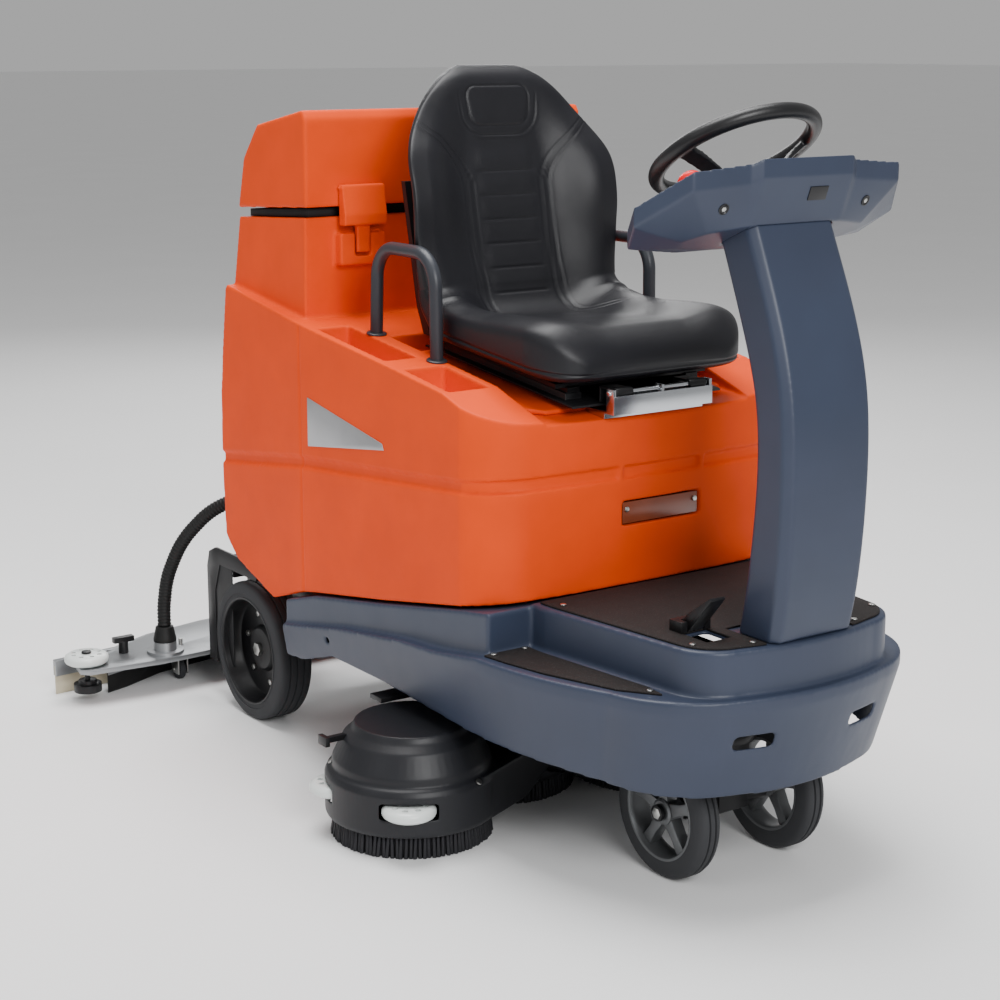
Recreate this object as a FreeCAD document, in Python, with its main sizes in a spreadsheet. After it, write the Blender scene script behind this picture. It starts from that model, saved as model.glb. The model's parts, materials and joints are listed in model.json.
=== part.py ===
"""Ride-on floor scrubber: a seated-operator machine with a rear drive axle, a twin-wheel steering
bogie, an offset three-brush deck and a trailing squeegee.

Millimetres. The machine's centre plane is x = 0 and its front looks along -Y in the sketches below;
every sub-part is then placed with shift_x and shift_y, so that the model's footprint is centred on
the origin, on the floor."""
import FreeCAD, Part
import math
import os

import Sketcher
from FreeCAD import Placement, Rotation, Vector

CELLS = {
    # where the centre plane and the front-to-back datum lie in the row frame
    "shift_x": 115.95,
    "shift_y": 105.0,
    # rear wheels and drive axle
    "rear_axle_y": 360.0,
    "rear_radius": 152.5,
    "rear_tyre_width": 80.0,
    "rear_face_x": 337.0,
    "rear_rim_radius": 118.0,
    "rear_shaft_radius": 20.0,
    # steering bogie and its twin wheels
    "bogie_y": -813.6,
    "front_radius": 121.0,
    "front_tyre_width": 47.0,
    "front_face_x": 147.0,
    "front_rim_radius": 87.0,
    "front_axle_radius": 10.0,
    "kingpin_radius": 25.0,
    "running_gap": 0.05,
    # moulded chassis
    "chassis_half": 392.0,
    "chassis_front": 1066.0,
    "chassis_rear": 130.0,
    "ledge_top": 395.0,
    "platform_top": 475.0,
    "skirt_bottom": 205.0,
    "cover_wall": 8.0,
    # tank moulding
    "tank_half": 360.0,
    "tower_half": 330.0,
    "tank_wall": 8.0,
    "groove_depth": 6.0,
    "window_offset": 22.0,
    # steering column and wheel
    "hub_y": -806.0,
    "hub_z": 1266.0,
    "wheel_tilt": 31.0,
    "wheel_ring": 139.0,
    "wheel_grip": 13.5,
    # brush deck
    "brush_y": -372.0,
    "brush_step": 283.0,
    "brush_stagger": 125.0,
    "brush_radius": 152.0,
    "deck_x": -380.0,
    "bristle_top": 52.0,
    "deck_roller_radius": 50.0,
    # squeegee
    "squeegee_mid_x": -120.0,
    "squeegee_half": 478.0,
    "plate_bottom": 74.0,
    "plate_thick": 11.0,
    "end_roller_radius": 49.0,
    "castor_radius": 24.0,
    # seat
    "seat_half": 238.0,
    "bolster_from": 148.0,
    "recess_half": 237.0,
    "hinge_y": -618.0,
    "hinge_z": 838.0,
    "armrest_x": 254.0,
    "armrest_tube": 12.5,
    "mat_thick": 4.0,
    "screw_radius": 5.5,
    "hose_radius": 16.0,
}

doc = FreeCAD.newDocument("floor_scrubber")
sheet = doc.addObject("Spreadsheet::Sheet", "dims")
for row, (alias, number) in enumerate(CELLS.items(), start=1):
    sheet.set(f"A{row}", alias)
    sheet.set(f"B{row}", str(number))
    sheet.setAlias(f"B{row}", alias)
doc.recompute()


class Size:
    """A length that knows its value and the sheet expression that it comes from."""

    def __init__(self, value, text):
        self.value = float(value)
        self.text = text

    def __add__(self, other):
        other = as_size(other)
        return Size(self.value + other.value, f"({self.text} + {other.text})")

    def __sub__(self, other):
        other = as_size(other)
        return Size(self.value - other.value, f"({self.text} - {other.text})")

    def __mul__(self, factor):
        return Size(self.value * factor, f"({self.text} * {factor})")

    def __neg__(self):
        return Size(-self.value, f"(0 - {self.text})")


def as_size(x):
    return x if isinstance(x, Size) else Size(x, f"({float(x)})")


def cell(alias):
    return Size(float(sheet.get(alias)), f"dims.{alias}")


def val(alias):
    return float(sheet.get(alias))


SUBPARTS = {}


def finish(obj, label, x=0.0, y=0.0, z=0.0, turn=Rotation()):
    """Names a sub-part and places it in the row frame, bound to the sheet."""
    obj.Label = label
    place = [as_size(x) + cell("shift_x"), as_size(y) + cell("shift_y"), as_size(z)]
    obj.Placement = Placement(Vector(*[p.value for p in place]), turn)
    for axis, p in zip("xyz", place):
        obj.setExpression(f"Placement.Base.{axis}", p.text)
    SUBPARTS[label] = obj
    return obj


def plane_of(body, role):
    return [f for f in body.Origin.OriginFeatures if f.Role == role][0]


def outline(body, role, corners, start):
    """A closed polygon sketch; every corner is held by distances bound to the sheet."""
    sketch = body.newObject("Sketcher::SketchObject", "outline")
    sketch.AttachmentSupport = [(plane_of(body, role), "")]
    sketch.MapMode = "FlatFace"
    sketch.AttachmentOffset = Placement(Vector(0, 0, as_size(start).value), Rotation())
    sketch.setExpression("AttachmentOffset.Base.z", as_size(start).text)
    corners = [(as_size(a), as_size(b)) for a, b in corners]
    count = len(corners)
    for i in range(count):
        (ax, ay), (bx, by) = corners[i], corners[(i + 1) % count]
        edge = Part.LineSegment(Vector(ax.value, ay.value, 0), Vector(bx.value, by.value, 0))
        sketch.addGeometry(edge)
    for i in range(count):
        sketch.addConstraint(Sketcher.Constraint("Coincident", i, 2, (i + 1) % count, 1))
    for i, (x, y) in enumerate(corners):
        for kind, size in (("DistanceX", x), ("DistanceY", y)):
            k = sketch.addConstraint(Sketcher.Constraint(kind, -1, 1, i, 1, size.value))
            if "dims" in size.text:
                sketch.setExpression(f"Constraints[{k}]", size.text)
    return sketch


def padded(label, role, corners, start, length, **place):
    """A flat-outline sub-part: a sketch on one of the body's planes, and a pad."""
    body = doc.addObject("PartDesign::Body", label)
    sketch = outline(body, role, corners, start)
    pad = body.newObject("PartDesign::Pad", "pad")
    pad.Profile = sketch
    pad.Length = as_size(length).value
    pad.setExpression("Length", as_size(length).text)
    return finish(body, label, **place)


def turned(label, corners, **place):
    """A round sub-part: (radius, height) corners in a sketch, revolved about Z."""
    body = doc.addObject("PartDesign::Body", label)
    sketch = outline(body, "XZ_Plane", corners, 0.0)
    turn = body.newObject("PartDesign::Revolution", "turn")
    turn.Profile = sketch
    turn.ReferenceAxis = (sketch, ["V_Axis"])
    turn.Angle = 360
    return finish(body, label, **place)


def bind(obj, prop, size):
    setattr(obj, prop, as_size(size).value)
    obj.setExpression(prop, as_size(size).text)


def seat_at(obj, x, y, z, turn=Rotation()):
    place = [as_size(x), as_size(y), as_size(z)]
    obj.Placement = Placement(Vector(*[p.value for p in place]), turn)
    for axis, p in zip("xyz", place):
        obj.setExpression(f"Placement.Base.{axis}", p.text)
    return obj


def block(x, y, z):
    """A box from three (low, high) pairs."""
    box = doc.addObject("Part::Box", "block")
    for prop, (low, high) in zip(("Length", "Width", "Height"), (x, y, z)):
        bind(box, prop, as_size(high) - low)
    return seat_at(box, x[0], y[0], z[0])


ALONG = {
    "X": Rotation(Vector(0, 1, 0), 90),
    "Y": Rotation(Vector(1, 0, 0), -90),
    "Z": Rotation(),
}


def rod(radius, length, x, y, z, along="Z"):
    """A cylinder that starts at (x, y, z) and runs along one axis."""
    cylinder = doc.addObject("Part::Cylinder", "rod")
    bind(cylinder, "Radius", radius)
    bind(cylinder, "Height", length)
    return seat_at(cylinder, x, y, z, ALONG[along])


def fuse(*pieces):
    joined = doc.addObject("Part::MultiFuse", "joined")
    joined.Shapes = list(pieces)
    return joined


def cut(base, *tools):
    result = doc.addObject("Part::Cut", "cut")
    result.Base = base
    result.Tool = tools[0] if len(tools) == 1 else fuse(*tools)
    return result


def group(*pieces):
    """Identical pieces that share a node, as separate solids."""
    compound = doc.addObject("Part::Compound", "group")
    compound.Links = list(pieces)
    return compound


def feature(label, shape, **place):
    """A moulded or bent sub-part whose shape comes from Part's own functions."""
    obj = doc.addObject("Part::Feature", label)
    obj.Shape = shape
    return finish(obj, label, **place)


# ---------------------------------------------------------------- shape helpers
def polygon_face(points):
    return Part.Face(Part.makePolygon(points + points[:1]))


def side_prism(points, low, high):
    """An outline of (y, z) corners, extruded across the machine from x = low to high."""
    face = polygon_face([Vector(low, y, z) for y, z in points])
    return face.extrude(Vector(high - low, 0, 0))


def plan_prism(points, low, high):
    """An outline of (x, y) corners, extruded from z = low to high."""
    face = polygon_face([Vector(x, y, low) for x, y in points])
    return face.extrude(Vector(0, 0, high - low))


def solid_block(x, y, z):
    return Part.makeBox(x[1] - x[0], y[1] - y[0], z[1] - z[0], Vector(x[0], y[0], z[0]))


def mirrored(shape):
    return shape.mirror(Vector(0, 0, 0), Vector(1, 0, 0))


def both_sides(shape):
    return [shape, mirrored(shape)]


def arc_through(a, b, c):
    return Part.Arc(a, b, c).toShape()


def tube_path(points, radii):
    """Straight runs joined by tangent arcs of the given radii."""
    edges = []
    here = points[0]
    for i in range(1, len(points) - 1):
        before = (points[i - 1] - points[i]).normalize()
        after = (points[i + 1] - points[i]).normalize()
        turn = math.pi - before.getAngle(after)
        reach = radii[i - 1] * math.tan(turn / 2)
        first, last = points[i] + before * reach, points[i] + after * reach
        bisector = (before + after).normalize()
        centre_gap = radii[i - 1] / math.cos(turn / 2)
        middle = points[i] + bisector * (centre_gap - radii[i - 1])
        edges.append(Part.LineSegment(here, first).toShape())
        edges.append(arc_through(first, middle, last))
        here = last
    edges.append(Part.LineSegment(here, points[-1]).toShape())
    return Part.Wire(edges)


def bent_tube(points, radii, radius):
    """A solid tube along straight runs and arcs; returns the solid and its path."""
    path = tube_path(points, radii)
    start = Part.Circle(points[0], (points[1] - points[0]).normalize(), radius).toShape()
    swept = path.makePipeShell([Part.Wire([start])], True, True)
    return swept, path


# ---------------------------------------------------------------- moulded chassis
WALL = val("cover_wall")


def chassis_outline(z, inset=0.0, narrow=1.0, shorten=1.0):
    """The chassis plan at height z: straight sides and a nose of three arcs each way."""
    half = (val("chassis_half") - inset) * narrow
    nose = val("chassis_front") - inset
    rear = val("chassis_rear") + 40.0

    def at(share_x, back):
        y = rear - (rear + nose - back) * shorten
        return Vector(share_x * half, y, z)

    side, shoulder, corner, tip = at(-1.0, 526.0), at(-0.81, 186.0), at(-0.435, 28.0), at(0.0, 0.0)
    hips, cheek = at(-0.94, 326.0), at(-0.67, 81.0)

    def flip(p):
        return Vector(-p.x, p.y, p.z)

    return Part.Wire([
        Part.LineSegment(Vector(-half, rear, z), side).toShape(),
        arc_through(side, hips, shoulder),
        arc_through(shoulder, cheek, corner),
        arc_through(corner, tip, flip(corner)),
        arc_through(flip(corner), flip(cheek), flip(shoulder)),
        arc_through(flip(shoulder), flip(hips), flip(side)),
        Part.LineSegment(flip(side), Vector(half, rear, z)).toShape(),
        Part.LineSegment(Vector(half, rear, z), Vector(-half, rear, z)).toShape(),
    ])


# the ledge along the sides falls towards the rear; the band above it backs the tank
LEDGE = [(130, 277), (-119, 329), (-342, 363), (-464, 373), (-600, 395)]
BAND_TOP = [(-602, 471), (-524, 459), (-234, 404), (11, 362), (130, 328)]
PLATFORM = [(-270, -600), (-270, -640), (-232, -945)]


def platform_outline(z, inset):
    points = [Vector(x + inset, y, z) for x, y in PLATFORM]
    corner = Vector(-208 + inset * 0.7, -998 + inset * 0.7, z)
    front = Vector(-150, -1026 + inset, z)
    tip = Vector(0, -1047 + inset, z)

    def flip(p):
        return Vector(-p.x, p.y, p.z)

    return Part.Wire([
        Part.LineSegment(points[0], points[1]).toShape(),
        Part.LineSegment(points[1], points[2]).toShape(),
        arc_through(points[2], corner, front),
        arc_through(front, tip, flip(front)),
        arc_through(flip(front), flip(corner), flip(points[2])),
        Part.LineSegment(flip(points[2]), flip(points[1])).toShape(),
        Part.LineSegment(flip(points[1]), flip(points[0])).toShape(),
        Part.LineSegment(flip(points[0]), points[0]).toShape(),
    ])


def chassis_body(inset, rear):
    """The chassis as a solid, or with an inset its inner core."""
    low, full, top = val("skirt_bottom") - inset * 2, 372.0, val("ledge_top") - inset
    taper = Part.makeLoft(
        [chassis_outline(low, inset, 0.93, 0.962), chassis_outline(full, inset)], True, True
    )
    rim = Part.Face(chassis_outline(full, inset)).extrude(Vector(0, 0, top - full))
    body = taper.fuse(rim)
    above = [(y, z - inset) for y, z in LEDGE] + [(-600, 500), (300, 500), (300, 240 - inset)]
    body = body.cut(side_prism(above, -500, 500))
    band_half = val("chassis_half") - 27 - inset
    band = [(y, z - inset) for y, z in BAND_TOP]
    band = [(-602 + inset, 250), (-602 + inset, 471 - inset)] + band[1:-1]
    band += [(rear, 328 - inset), (rear, 250)]
    body = body.fuse(side_prism(band, -band_half, band_half))
    raised = Part.Face(platform_outline(360, inset))
    body = body.fuse(raised.extrude(Vector(0, 0, val("platform_top") - inset - 360)))
    return body.common(solid_block((-500, 500), (-1200, rear), (0, 600)))


def chassis_cover():
    rear = val("chassis_rear")
    shape = chassis_body(0.0, rear).cut(chassis_body(WALL, rear + 1))
    under = [(rear + 1, 208), (60, 215), (-70, 256), (-250, 256), (-770, 228), (-1100, 200)]
    shape = shape.cut(side_prism(under + [(-1100, 100), (rear + 1, 100)], -500, 500))
    for slot in both_sides(solid_block((-160, -88), (-1100, -900), (302, 325))):
        shape = shape.cut(slot)
    for hole in both_sides(Part.makeCylinder(6, 60, Vector(-400, -60, 290), Vector(1, 0, 0))):
        shape = shape.cut(hole)
    shaft_way = Part.makeCylinder(30, 40, Vector(0, -985, 450))
    pedal_slot = solid_block((-175, -125), (-965, -905), (450, 490))
    return shape.cut(shaft_way).cut(pedal_slot)


feature("chassis_cover", chassis_cover())


# ---------------------------------------------------------------- mats and their screws
def platform_mat():
    floor = val("platform_top")
    mat = Part.Face(platform_outline(floor, 11.0)).extrude(Vector(0, 0, val("mat_thick")))
    mat = mat.common(solid_block((-400, 400), (-1100, -612), (floor, floor + 20)))
    mat = mat.cut(solid_block((-98, 98), (-1100, -922), (floor - 5, floor + 20)))
    return mat.cut(solid_block((-177, -123), (-967, -903), (floor - 5, floor + 20)))


feature("platform_mat", platform_mat())
STEP_MAT = [(-374, -604), (-281, -604), (-281, -650), (-249, -905), (-254, -948), (-300, -885),
            (-348, -745), (-366, -660)]
ledge, mat = val("ledge_top"), val("mat_thick")
step_mats = both_sides(plan_prism(STEP_MAT, ledge, ledge + mat))
feature("step_mats", Part.makeCompound(step_mats))

MAT_SCREWS = [(240, -655), (206, -965), (116, -1012)]
STEP_SCREWS = [(360, -614), (294, -614), (262, -925)]
screws = []
for spots, level in ((MAT_SCREWS, cell("platform_top")), (STEP_SCREWS, cell("ledge_top"))):
    for x, y in spots:
        for sign in (1, -1):
            screws.append(rod(cell("screw_radius"), 3.0, sign * x, y, level + cell("mat_thick")))

# ---------------------------------------------------------------- steel frame
GUARD = [(330, 314), (330, 336), (400, 350), (520, 350), (550, 336), (562, 300), (562, 84),
         (526, 84), (526, 250), (500, 314)]
ARM_PIVOT_Y, ARM_PIVOT_Z = 476.0, 236.0


def main_frame():
    """Rails and cross members, the kingpin's bearing, the rear guards and the squeegee's hinge."""
    pieces = [
        solid_block((-220, 220), (-580, -540), (262, 302)),
        solid_block((-220, 220), (60, 100), (262, 302)),
        solid_block((-220, 220), (410, 450), (262, 302)),
        solid_block((-70, 70), (-900, -560), (300, 340)),
        solid_block((-320, 320), (444, 450), (296, 348)),
    ]
    for sign in (1, -1):
        x = 200 * sign
        pieces.append(solid_block((x - 20, x + 20), (-560, 440), (262, 302)))
        pieces.append(solid_block((x - 12, x + 12), (322, 398), (192, 302)))
        pieces += both_sides(side_prism(GUARD, -326, -320))
    mid = val("squeegee_mid_x")
    pieces.append(solid_block((mid - 58, mid + 58), (450, 462), (220, 302)))
    for x in (mid - 58, mid + 46):
        pieces.append(solid_block((x, x + 12), (450, 486), (222, 250)))
    hinge = Part.makeCylinder(8, 168, Vector(mid - 84, ARM_PIVOT_Y, ARM_PIVOT_Z), Vector(1, 0, 0))
    shape = pieces[0].fuse(pieces[1:] + [hinge])
    bore = val("kingpin_radius") + val("running_gap")
    return shape.cut(Part.makeCylinder(bore, 80, Vector(0, val("bogie_y"), 280))).removeSplitter()


feature("main_frame", main_frame())

# ---------------------------------------------------------------- drive axle and rear wheels
AXLE_Y, AXLE_Z = cell("rear_axle_y"), cell("rear_radius")
axle_core = fuse(
    rod(38, 496, -248, AXLE_Y, AXLE_Z, "X"),
    rod(78, 110, -55, AXLE_Y, AXLE_Z, "X"),
    rod(62, 190, 0, AXLE_Y - 230, AXLE_Z, "Y"),
    block((-212, -188), (330, 390), (150, 191.5)),
    block((188, 212), (330, 390), (150, 191.5)),
)
shaft_bores = [
    rod(cell("rear_shaft_radius") + cell("running_gap"), 90, x, AXLE_Y, AXLE_Z, "X")
    for x in (-250, 160)
]
finish(cut(axle_core, *shaft_bores), "drive_axle")

TO_X = {1: Rotation(Vector(0, 1, 0), 90), -1: Rotation(Vector(0, 1, 0), -90)}


def wheel(name, side, sign, tyre, rim, x, y, radius):
    """A tyre and a rim, revolved about Z and turned so that their outer face looks along sign*X."""
    turned(f"{name}_tyre_{side}", tyre, x=x * sign, y=y, z=radius, turn=TO_X[sign])
    turned(f"{name}_rim_{side}", rim, x=x * sign, y=y, z=radius, turn=TO_X[sign])


def tyre_section(radius, rim, width):
    """From the outer face at 0 inwards, with a chamfered tread."""
    return [(rim, 0), (radius - 8, 0), (radius, -8), (radius, -width + 8), (radius - 8, -width),
            (rim, -width)]


REAR_TYRE = tyre_section(cell("rear_radius"), cell("rear_rim_radius"), cell("rear_tyre_width"))
rim, shaft = cell("rear_rim_radius"), cell("rear_shaft_radius")
REAR_RIM = [(0, -24), (16, -24), (16, -32), (48, -32), (48, -44), (rim - 6, -44), (rim - 6, 0),
            (rim, 0), (rim, -cell("rear_tyre_width")), (rim - 6, -cell("rear_tyre_width")),
            (rim - 6, -52), (48, -52), (48, -78), (shaft, -78), (shaft, -172), (0, -172)]
rim, pin = cell("front_rim_radius"), cell("front_axle_radius") + cell("running_gap")
FRONT_TYRE = tyre_section(cell("front_radius"), rim, cell("front_tyre_width"))
FRONT_RIM = [(pin, -6), (24, -6), (24, -14), (rim - 10, -18), (rim - 6, 0), (rim, 0),
             (rim, -cell("front_tyre_width")), (rim - 6, -cell("front_tyre_width")),
             (rim - 10, -30), (24, -32), (24, -42), (pin, -42)]
for side, sign in (("right", -1), ("left", 1)):
    wheel("rear", side, sign, REAR_TYRE, REAR_RIM, cell("rear_face_x"), AXLE_Y, AXLE_Z)
    wheel("front", side, sign, FRONT_TYRE, FRONT_RIM, cell("front_face_x"), cell("bogie_y"),
          cell("front_radius"))

# ---------------------------------------------------------------- steering bogie
FRONT_Z, BOGIE_Y = cell("front_radius"), cell("bogie_y")
face_x = cell("front_face_x")
bogie = fuse(
    rod(cell("kingpin_radius"), 112, 0, BOGIE_Y, 240),
    rod(60, 16, 0, BOGIE_Y, 236),
    block((-34, 34), (BOGIE_Y - 34, BOGIE_Y + 34), (104, 240)),
    rod(24, 180, -90, BOGIE_Y, FRONT_Z, "X"),
    rod(cell("front_axle_radius"), face_x * 2 - 8, -face_x + 4, BOGIE_Y, FRONT_Z, "X"),
    rod(15, 8, -face_x - 4, BOGIE_Y, FRONT_Z, "X"),
    rod(15, 8, face_x - 4, BOGIE_Y, FRONT_Z, "X"),
)
finish(bogie, "steering_bogie")

# ---------------------------------------------------------------- steering column and console
tilt = math.radians(val("wheel_tilt"))
WHEEL_AXIS = Vector(0, math.sin(tilt), math.cos(tilt))
HUB = Vector(0, val("hub_y"), val("hub_z"))
# height, front, rear and half width of the column's sections
COLUMN = [(475, -1037, -937, 92), (600, -1056, -961, 95), (740, -1062, -975, 97),
          (880, -1054, -966, 97), (1000, -1022, -926, 96), (1090, -985, -888, 95),
          (1160, -954, -856, 94)]


def column_section(z, front, rear, half, inset):
    half, front, rear, bevel = half - inset, front + inset, rear - inset, 14.0
    points = [(-half, rear - bevel), (-half, front + bevel), (-half + bevel, front),
              (half - bevel, front), (half, front + bevel), (half, rear - bevel),
              (half - bevel, rear), (-half + bevel, rear)]
    points = [Vector(x, y, z) for x, y in points]
    return Part.makePolygon(points + points[:1])


def steering_column():
    outer = Part.makeLoft([column_section(*s, 0.0) for s in COLUMN], True, False)
    inner = Part.makeLoft([column_section(*s, 7.0) for s in COLUMN], True, False)
    return outer.cut([inner, shaft_clearance()])

# the dashboard's plan, right half, front to rear; it slopes down towards the driver
DASH = [(-98, -987), (-115, -976), (-225, -966), (-286, -893), (-258, -842), (-150, -826)]
HULL = [(-98, -957), (-110, -954), (-170, -936), (-196, -902), (-180, -872), (-110, -858)]


def dash_z(y):
    return 1266 - 0.8 * (y + 985)


def hull_z(y):
    return 1157 - 0.45 * (y + 957)


def loop(right_half, height, drop=0.0, pull=1.0):
    left = [(-x, y) for x, y in reversed(right_half)]
    spots = [(x * pull, -905 + (y + 905) * pull) for x, y in right_half + left]
    points = [Vector(x, y, height(y) - drop) for x, y in spots]
    return Part.makePolygon(points + points[:1])


def console_shape():
    """A fascia and a hull below it, both hollow, bored for the column and the steering shaft."""
    fascia = Part.makeLoft([loop(DASH, dash_z), loop(DASH, dash_z, 32)], True, True)
    hull = Part.makeLoft([loop(DASH, dash_z, 32), loop(HULL, hull_z)], True, True)
    hollow = Part.makeLoft([loop(DASH, dash_z, -1, 0.93), loop(DASH, dash_z, 34, 0.93)], True, True)
    below = Part.makeLoft([loop(DASH, dash_z, 31, 0.9), loop(HULL, hull_z, -8, 0.88)], True, True)
    shape = fascia.fuse(hull).cut([hollow, below])
    return shape.cut([column_core(), shaft_clearance()])


def shaft_clearance():
    """The space round the steering shaft."""
    return Part.makeCylinder(15, 230, HUB - WHEEL_AXIS * 205, WHEEL_AXIS)


def column_core():
    """The column's outside, filled: the console is bored to sit round it."""
    return Part.makeLoft([column_section(*s, -0.2) for s in COLUMN], True, False)




def dash_plate():
    """The sloping panel that closes the console, with its shaft and button holes."""
    plate = Part.makeLoft(
        [loop(DASH, dash_z, 0.5, 0.935), loop(DASH, dash_z, 5.5, 0.935)], True, True
    )
    shaft_hole = shaft_clearance()
    stop_hole = Part.makeCylinder(8.2, 80, STOP_AT - DASH_NORMAL * 40, DASH_NORMAL)
    key_hole = Part.makeCylinder(6.2, 80, KEY_AT - DASH_NORMAL * 40, DASH_NORMAL)
    return plate.cut(shaft_hole).cut(stop_hole).cut(key_hole)


DASH_NORMAL = Vector(0, 0.8, 1).normalize()
STOP_AT = Vector(-190, -925, dash_z(-925))
KEY_AT = Vector(150, -900, dash_z(-900))
feature("steering_column", steering_column())
feature("console", console_shape().fuse(dash_plate()).cut(column_core()).removeSplitter())
DASH_TURN = Rotation(Vector(0, 0, 1), DASH_NORMAL)
turned("stop_button", [(0, -20), (7, -20), (7, 8), (20, 12), (20, 22), (14, 28), (0, 29)],
       x=STOP_AT.x, y=STOP_AT.y, z=STOP_AT.z, turn=DASH_TURN)
turned("key_switch", [(0, -20), (6, -20), (6, 1), (13, 1), (13, 14), (0, 16)],
       x=KEY_AT.x, y=KEY_AT.y, z=KEY_AT.z, turn=DASH_TURN)


def steering_wheel():
    """Rim, dished hub and three spokes about Z; the rim's plane is z = 0."""
    ring, grip = val("wheel_ring"), val("wheel_grip")
    shape = Part.makeTorus(ring, grip)
    shape = shape.fuse(Part.makeCylinder(34, 16, Vector(0, 0, -72)))
    shape = shape.fuse(Part.makeCylinder(24, 22, Vector(0, 0, -88)))
    shape = shape.fuse(Part.makeCylinder(11, 116, Vector(0, 0, -188)))
    side = [(8, -72), (40, -70), (96, -30), (ring, -7), (ring, 5), (104, -14), (50, -57), (8, -57)]
    for angle in (90, 190, 350):
        spoke = polygon_face([Vector(r, -15, z) for r, z in side]).extrude(Vector(0, 30, 0))
        spoke.rotate(Vector(0, 0, 0), Vector(0, 0, 1), angle)
        shape = shape.fuse(spoke)
    return shape


WHEEL_TURN = Rotation(Vector(0, 0, 1), WHEEL_AXIS)
feature("steering_wheel", steering_wheel(), x=0, y=cell("hub_y"), z=cell("hub_z"), turn=WHEEL_TURN)

# ---------------------------------------------------------------- tank moulding
TANK_SIDE = [(-607, 478), (-524, 465), (-234, 410), (11, 368), (73, 356), (201, 313), (368, 359),
             (425, 405), (432, 565), (427, 720), (390, 940), (382, 949), (60, 905), (-300, 861),
             (-450, 841), (-600, 794), (-607, 784)]
TOWER_SIDE = [(85, 860), (77, 1108), (350, 1092), (388, 920), (388, 860)]
GROOVE = [(450, 559), (64, 615), (-640, 679), (-640, 703), (64, 639), (450, 583)]


def tank_plan(inset, low, high):
    """The tank seen from above: a bowed front, flat sides and a slightly narrower rear."""
    half = val("tank_half") - inset
    front = -607.0 + inset
    rear = 440.0 - inset

    def flip(p):
        return Vector(-p.x, p.y, p.z)

    a, b, c = Vector(-half + 14, rear, low), Vector(-half, 60, low), Vector(-half, -505, low)
    d, e = Vector(-half + 26, -556 + inset, low), Vector(-half + 98, -592 + inset, low)
    tip = Vector(0, front, low)
    wire = Part.Wire([
        Part.LineSegment(a, b).toShape(),
        Part.LineSegment(b, c).toShape(),
        arc_through(c, d, e),
        arc_through(e, tip, flip(e)),
        arc_through(flip(e), flip(d), flip(c)),
        Part.LineSegment(flip(c), flip(b)).toShape(),
        Part.LineSegment(flip(b), flip(a)).toShape(),
        Part.LineSegment(flip(a), a).toShape(),
    ])
    return Part.Face(wire).extrude(Vector(0, 0, high - low))


def inset_side(points, distance, low, high):
    """An outline of (y, z) corners moved inwards by a distance, extruded across the machine."""
    wire = Part.makePolygon([Vector(low, y, z) for y, z in points + points[:1]])
    return Part.Face(wire.makeOffset2D(-distance)).extrude(Vector(high - low, 0, 0))


TRAYS = [((-342, -272), (-235, 15), 825.0), ((-342, -256), (-450, -302), 795.0)]


def slope(y, lift):
    """Height over the floor of the recess that the seat stands in."""
    return 856.4 + 0.1098 * y + lift


def seat_recess(grow):
    half = val("recess_half") + grow
    rear = -85 + grow
    side = [(-640, slope(-640, -grow)), (-640, 960), (rear, 960), (rear, slope(rear, -grow))]
    return side_prism(side, -half, half)


def tank_body():
    wall = val("tank_wall")
    tower_half = val("tower_half")
    half = val("tank_half")
    lower = side_prism(TANK_SIDE, -half - 5, half + 5).common(tank_plan(0, 200, 1200))
    tower = side_prism(TOWER_SIDE, -tower_half, tower_half)
    core = inset_side(TANK_SIDE, wall, -half, half).common(tank_plan(wall, 200, 1200))
    tower_core = inset_side(TOWER_SIDE, wall, -tower_half + wall, tower_half - wall)
    mouth = solid_block((-tower_half + 30, tower_half - 30), (105, 325), (1050, 1150))
    core = core.cut(seat_recess(wall))
    lower = lower.cut(seat_recess(0.0))
    bay = core.common(solid_block((-400, 400), (-700, 50), (0, 2000)))
    solution = core.common(solid_block((-400, 400), (58, 500), (0, 632)))
    recovery = core.common(solid_block((-400, 400), (92, 500), (640, 2000)))
    recovery = recovery.fuse([tower_core, mouth])
    outer = lower.copy()
    shape = lower.fuse(tower).cut(bay).cut(solution).cut(recovery)
    for (x0, x1), (y0, y1), floor_z in TRAYS:
        cup = solid_block((x0 - 5, x1 + 5), (y0 - 5, y1 + 5), (floor_z - 5, 1000))
        pocket = solid_block((x0, x1), (y0, y1), (floor_z, 1000))
        for piece in both_sides(cup):
            shape = shape.fuse(piece.common(outer))
        for piece in both_sides(pocket):
            shape = shape.cut(piece)
    depth = val("groove_depth")
    band = side_prism(GROOVE, -half - 5, half + 5)
    band = band.cut(tank_plan(depth, 200, 1200))
    for x in (-95, 95):
        centre = x + val("window_offset")
        band = band.cut(solid_block((centre - 5, centre + 5), (-700, -400), (600, 750)))
    shape = shape.cut(band)
    shift = val("window_offset")
    recess = solid_block((shift - 92, shift + 92), (-640, -597), (588, 634))
    hatch = solid_block((-205, 205), (-515, -125), (740, 1000))
    keeper = solid_block((-262, -160), (54, 80), (1012, 1076))
    tongue_way = solid_block((-229, -193), (50, 70), (1030, 1080))
    return shape.cut(recess).cut(hatch).fuse(keeper).cut(tongue_way)


tank = tank_body()
HINGE_Y, HINGE_Z = 362.0, 1104.0
for sign in (1, -1):
    for x in (186, 246):
        ear = solid_block((x * sign - 11, x * sign + 11), (352, 372), (1060, 1114))
        ear = ear.cut(Part.makeCylinder(5, 60, Vector(x * sign - 30, HINGE_Y, HINGE_Z),
                                        Vector(1, 0, 0)))
        tank = tank.fuse(ear)
feature("tank_body", tank.removeSplitter())

LID_SIDE = [(68, 1128), (66, 1298), (76, 1316), (262, 1282), (322, 1214), (350, 1111)]


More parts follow.
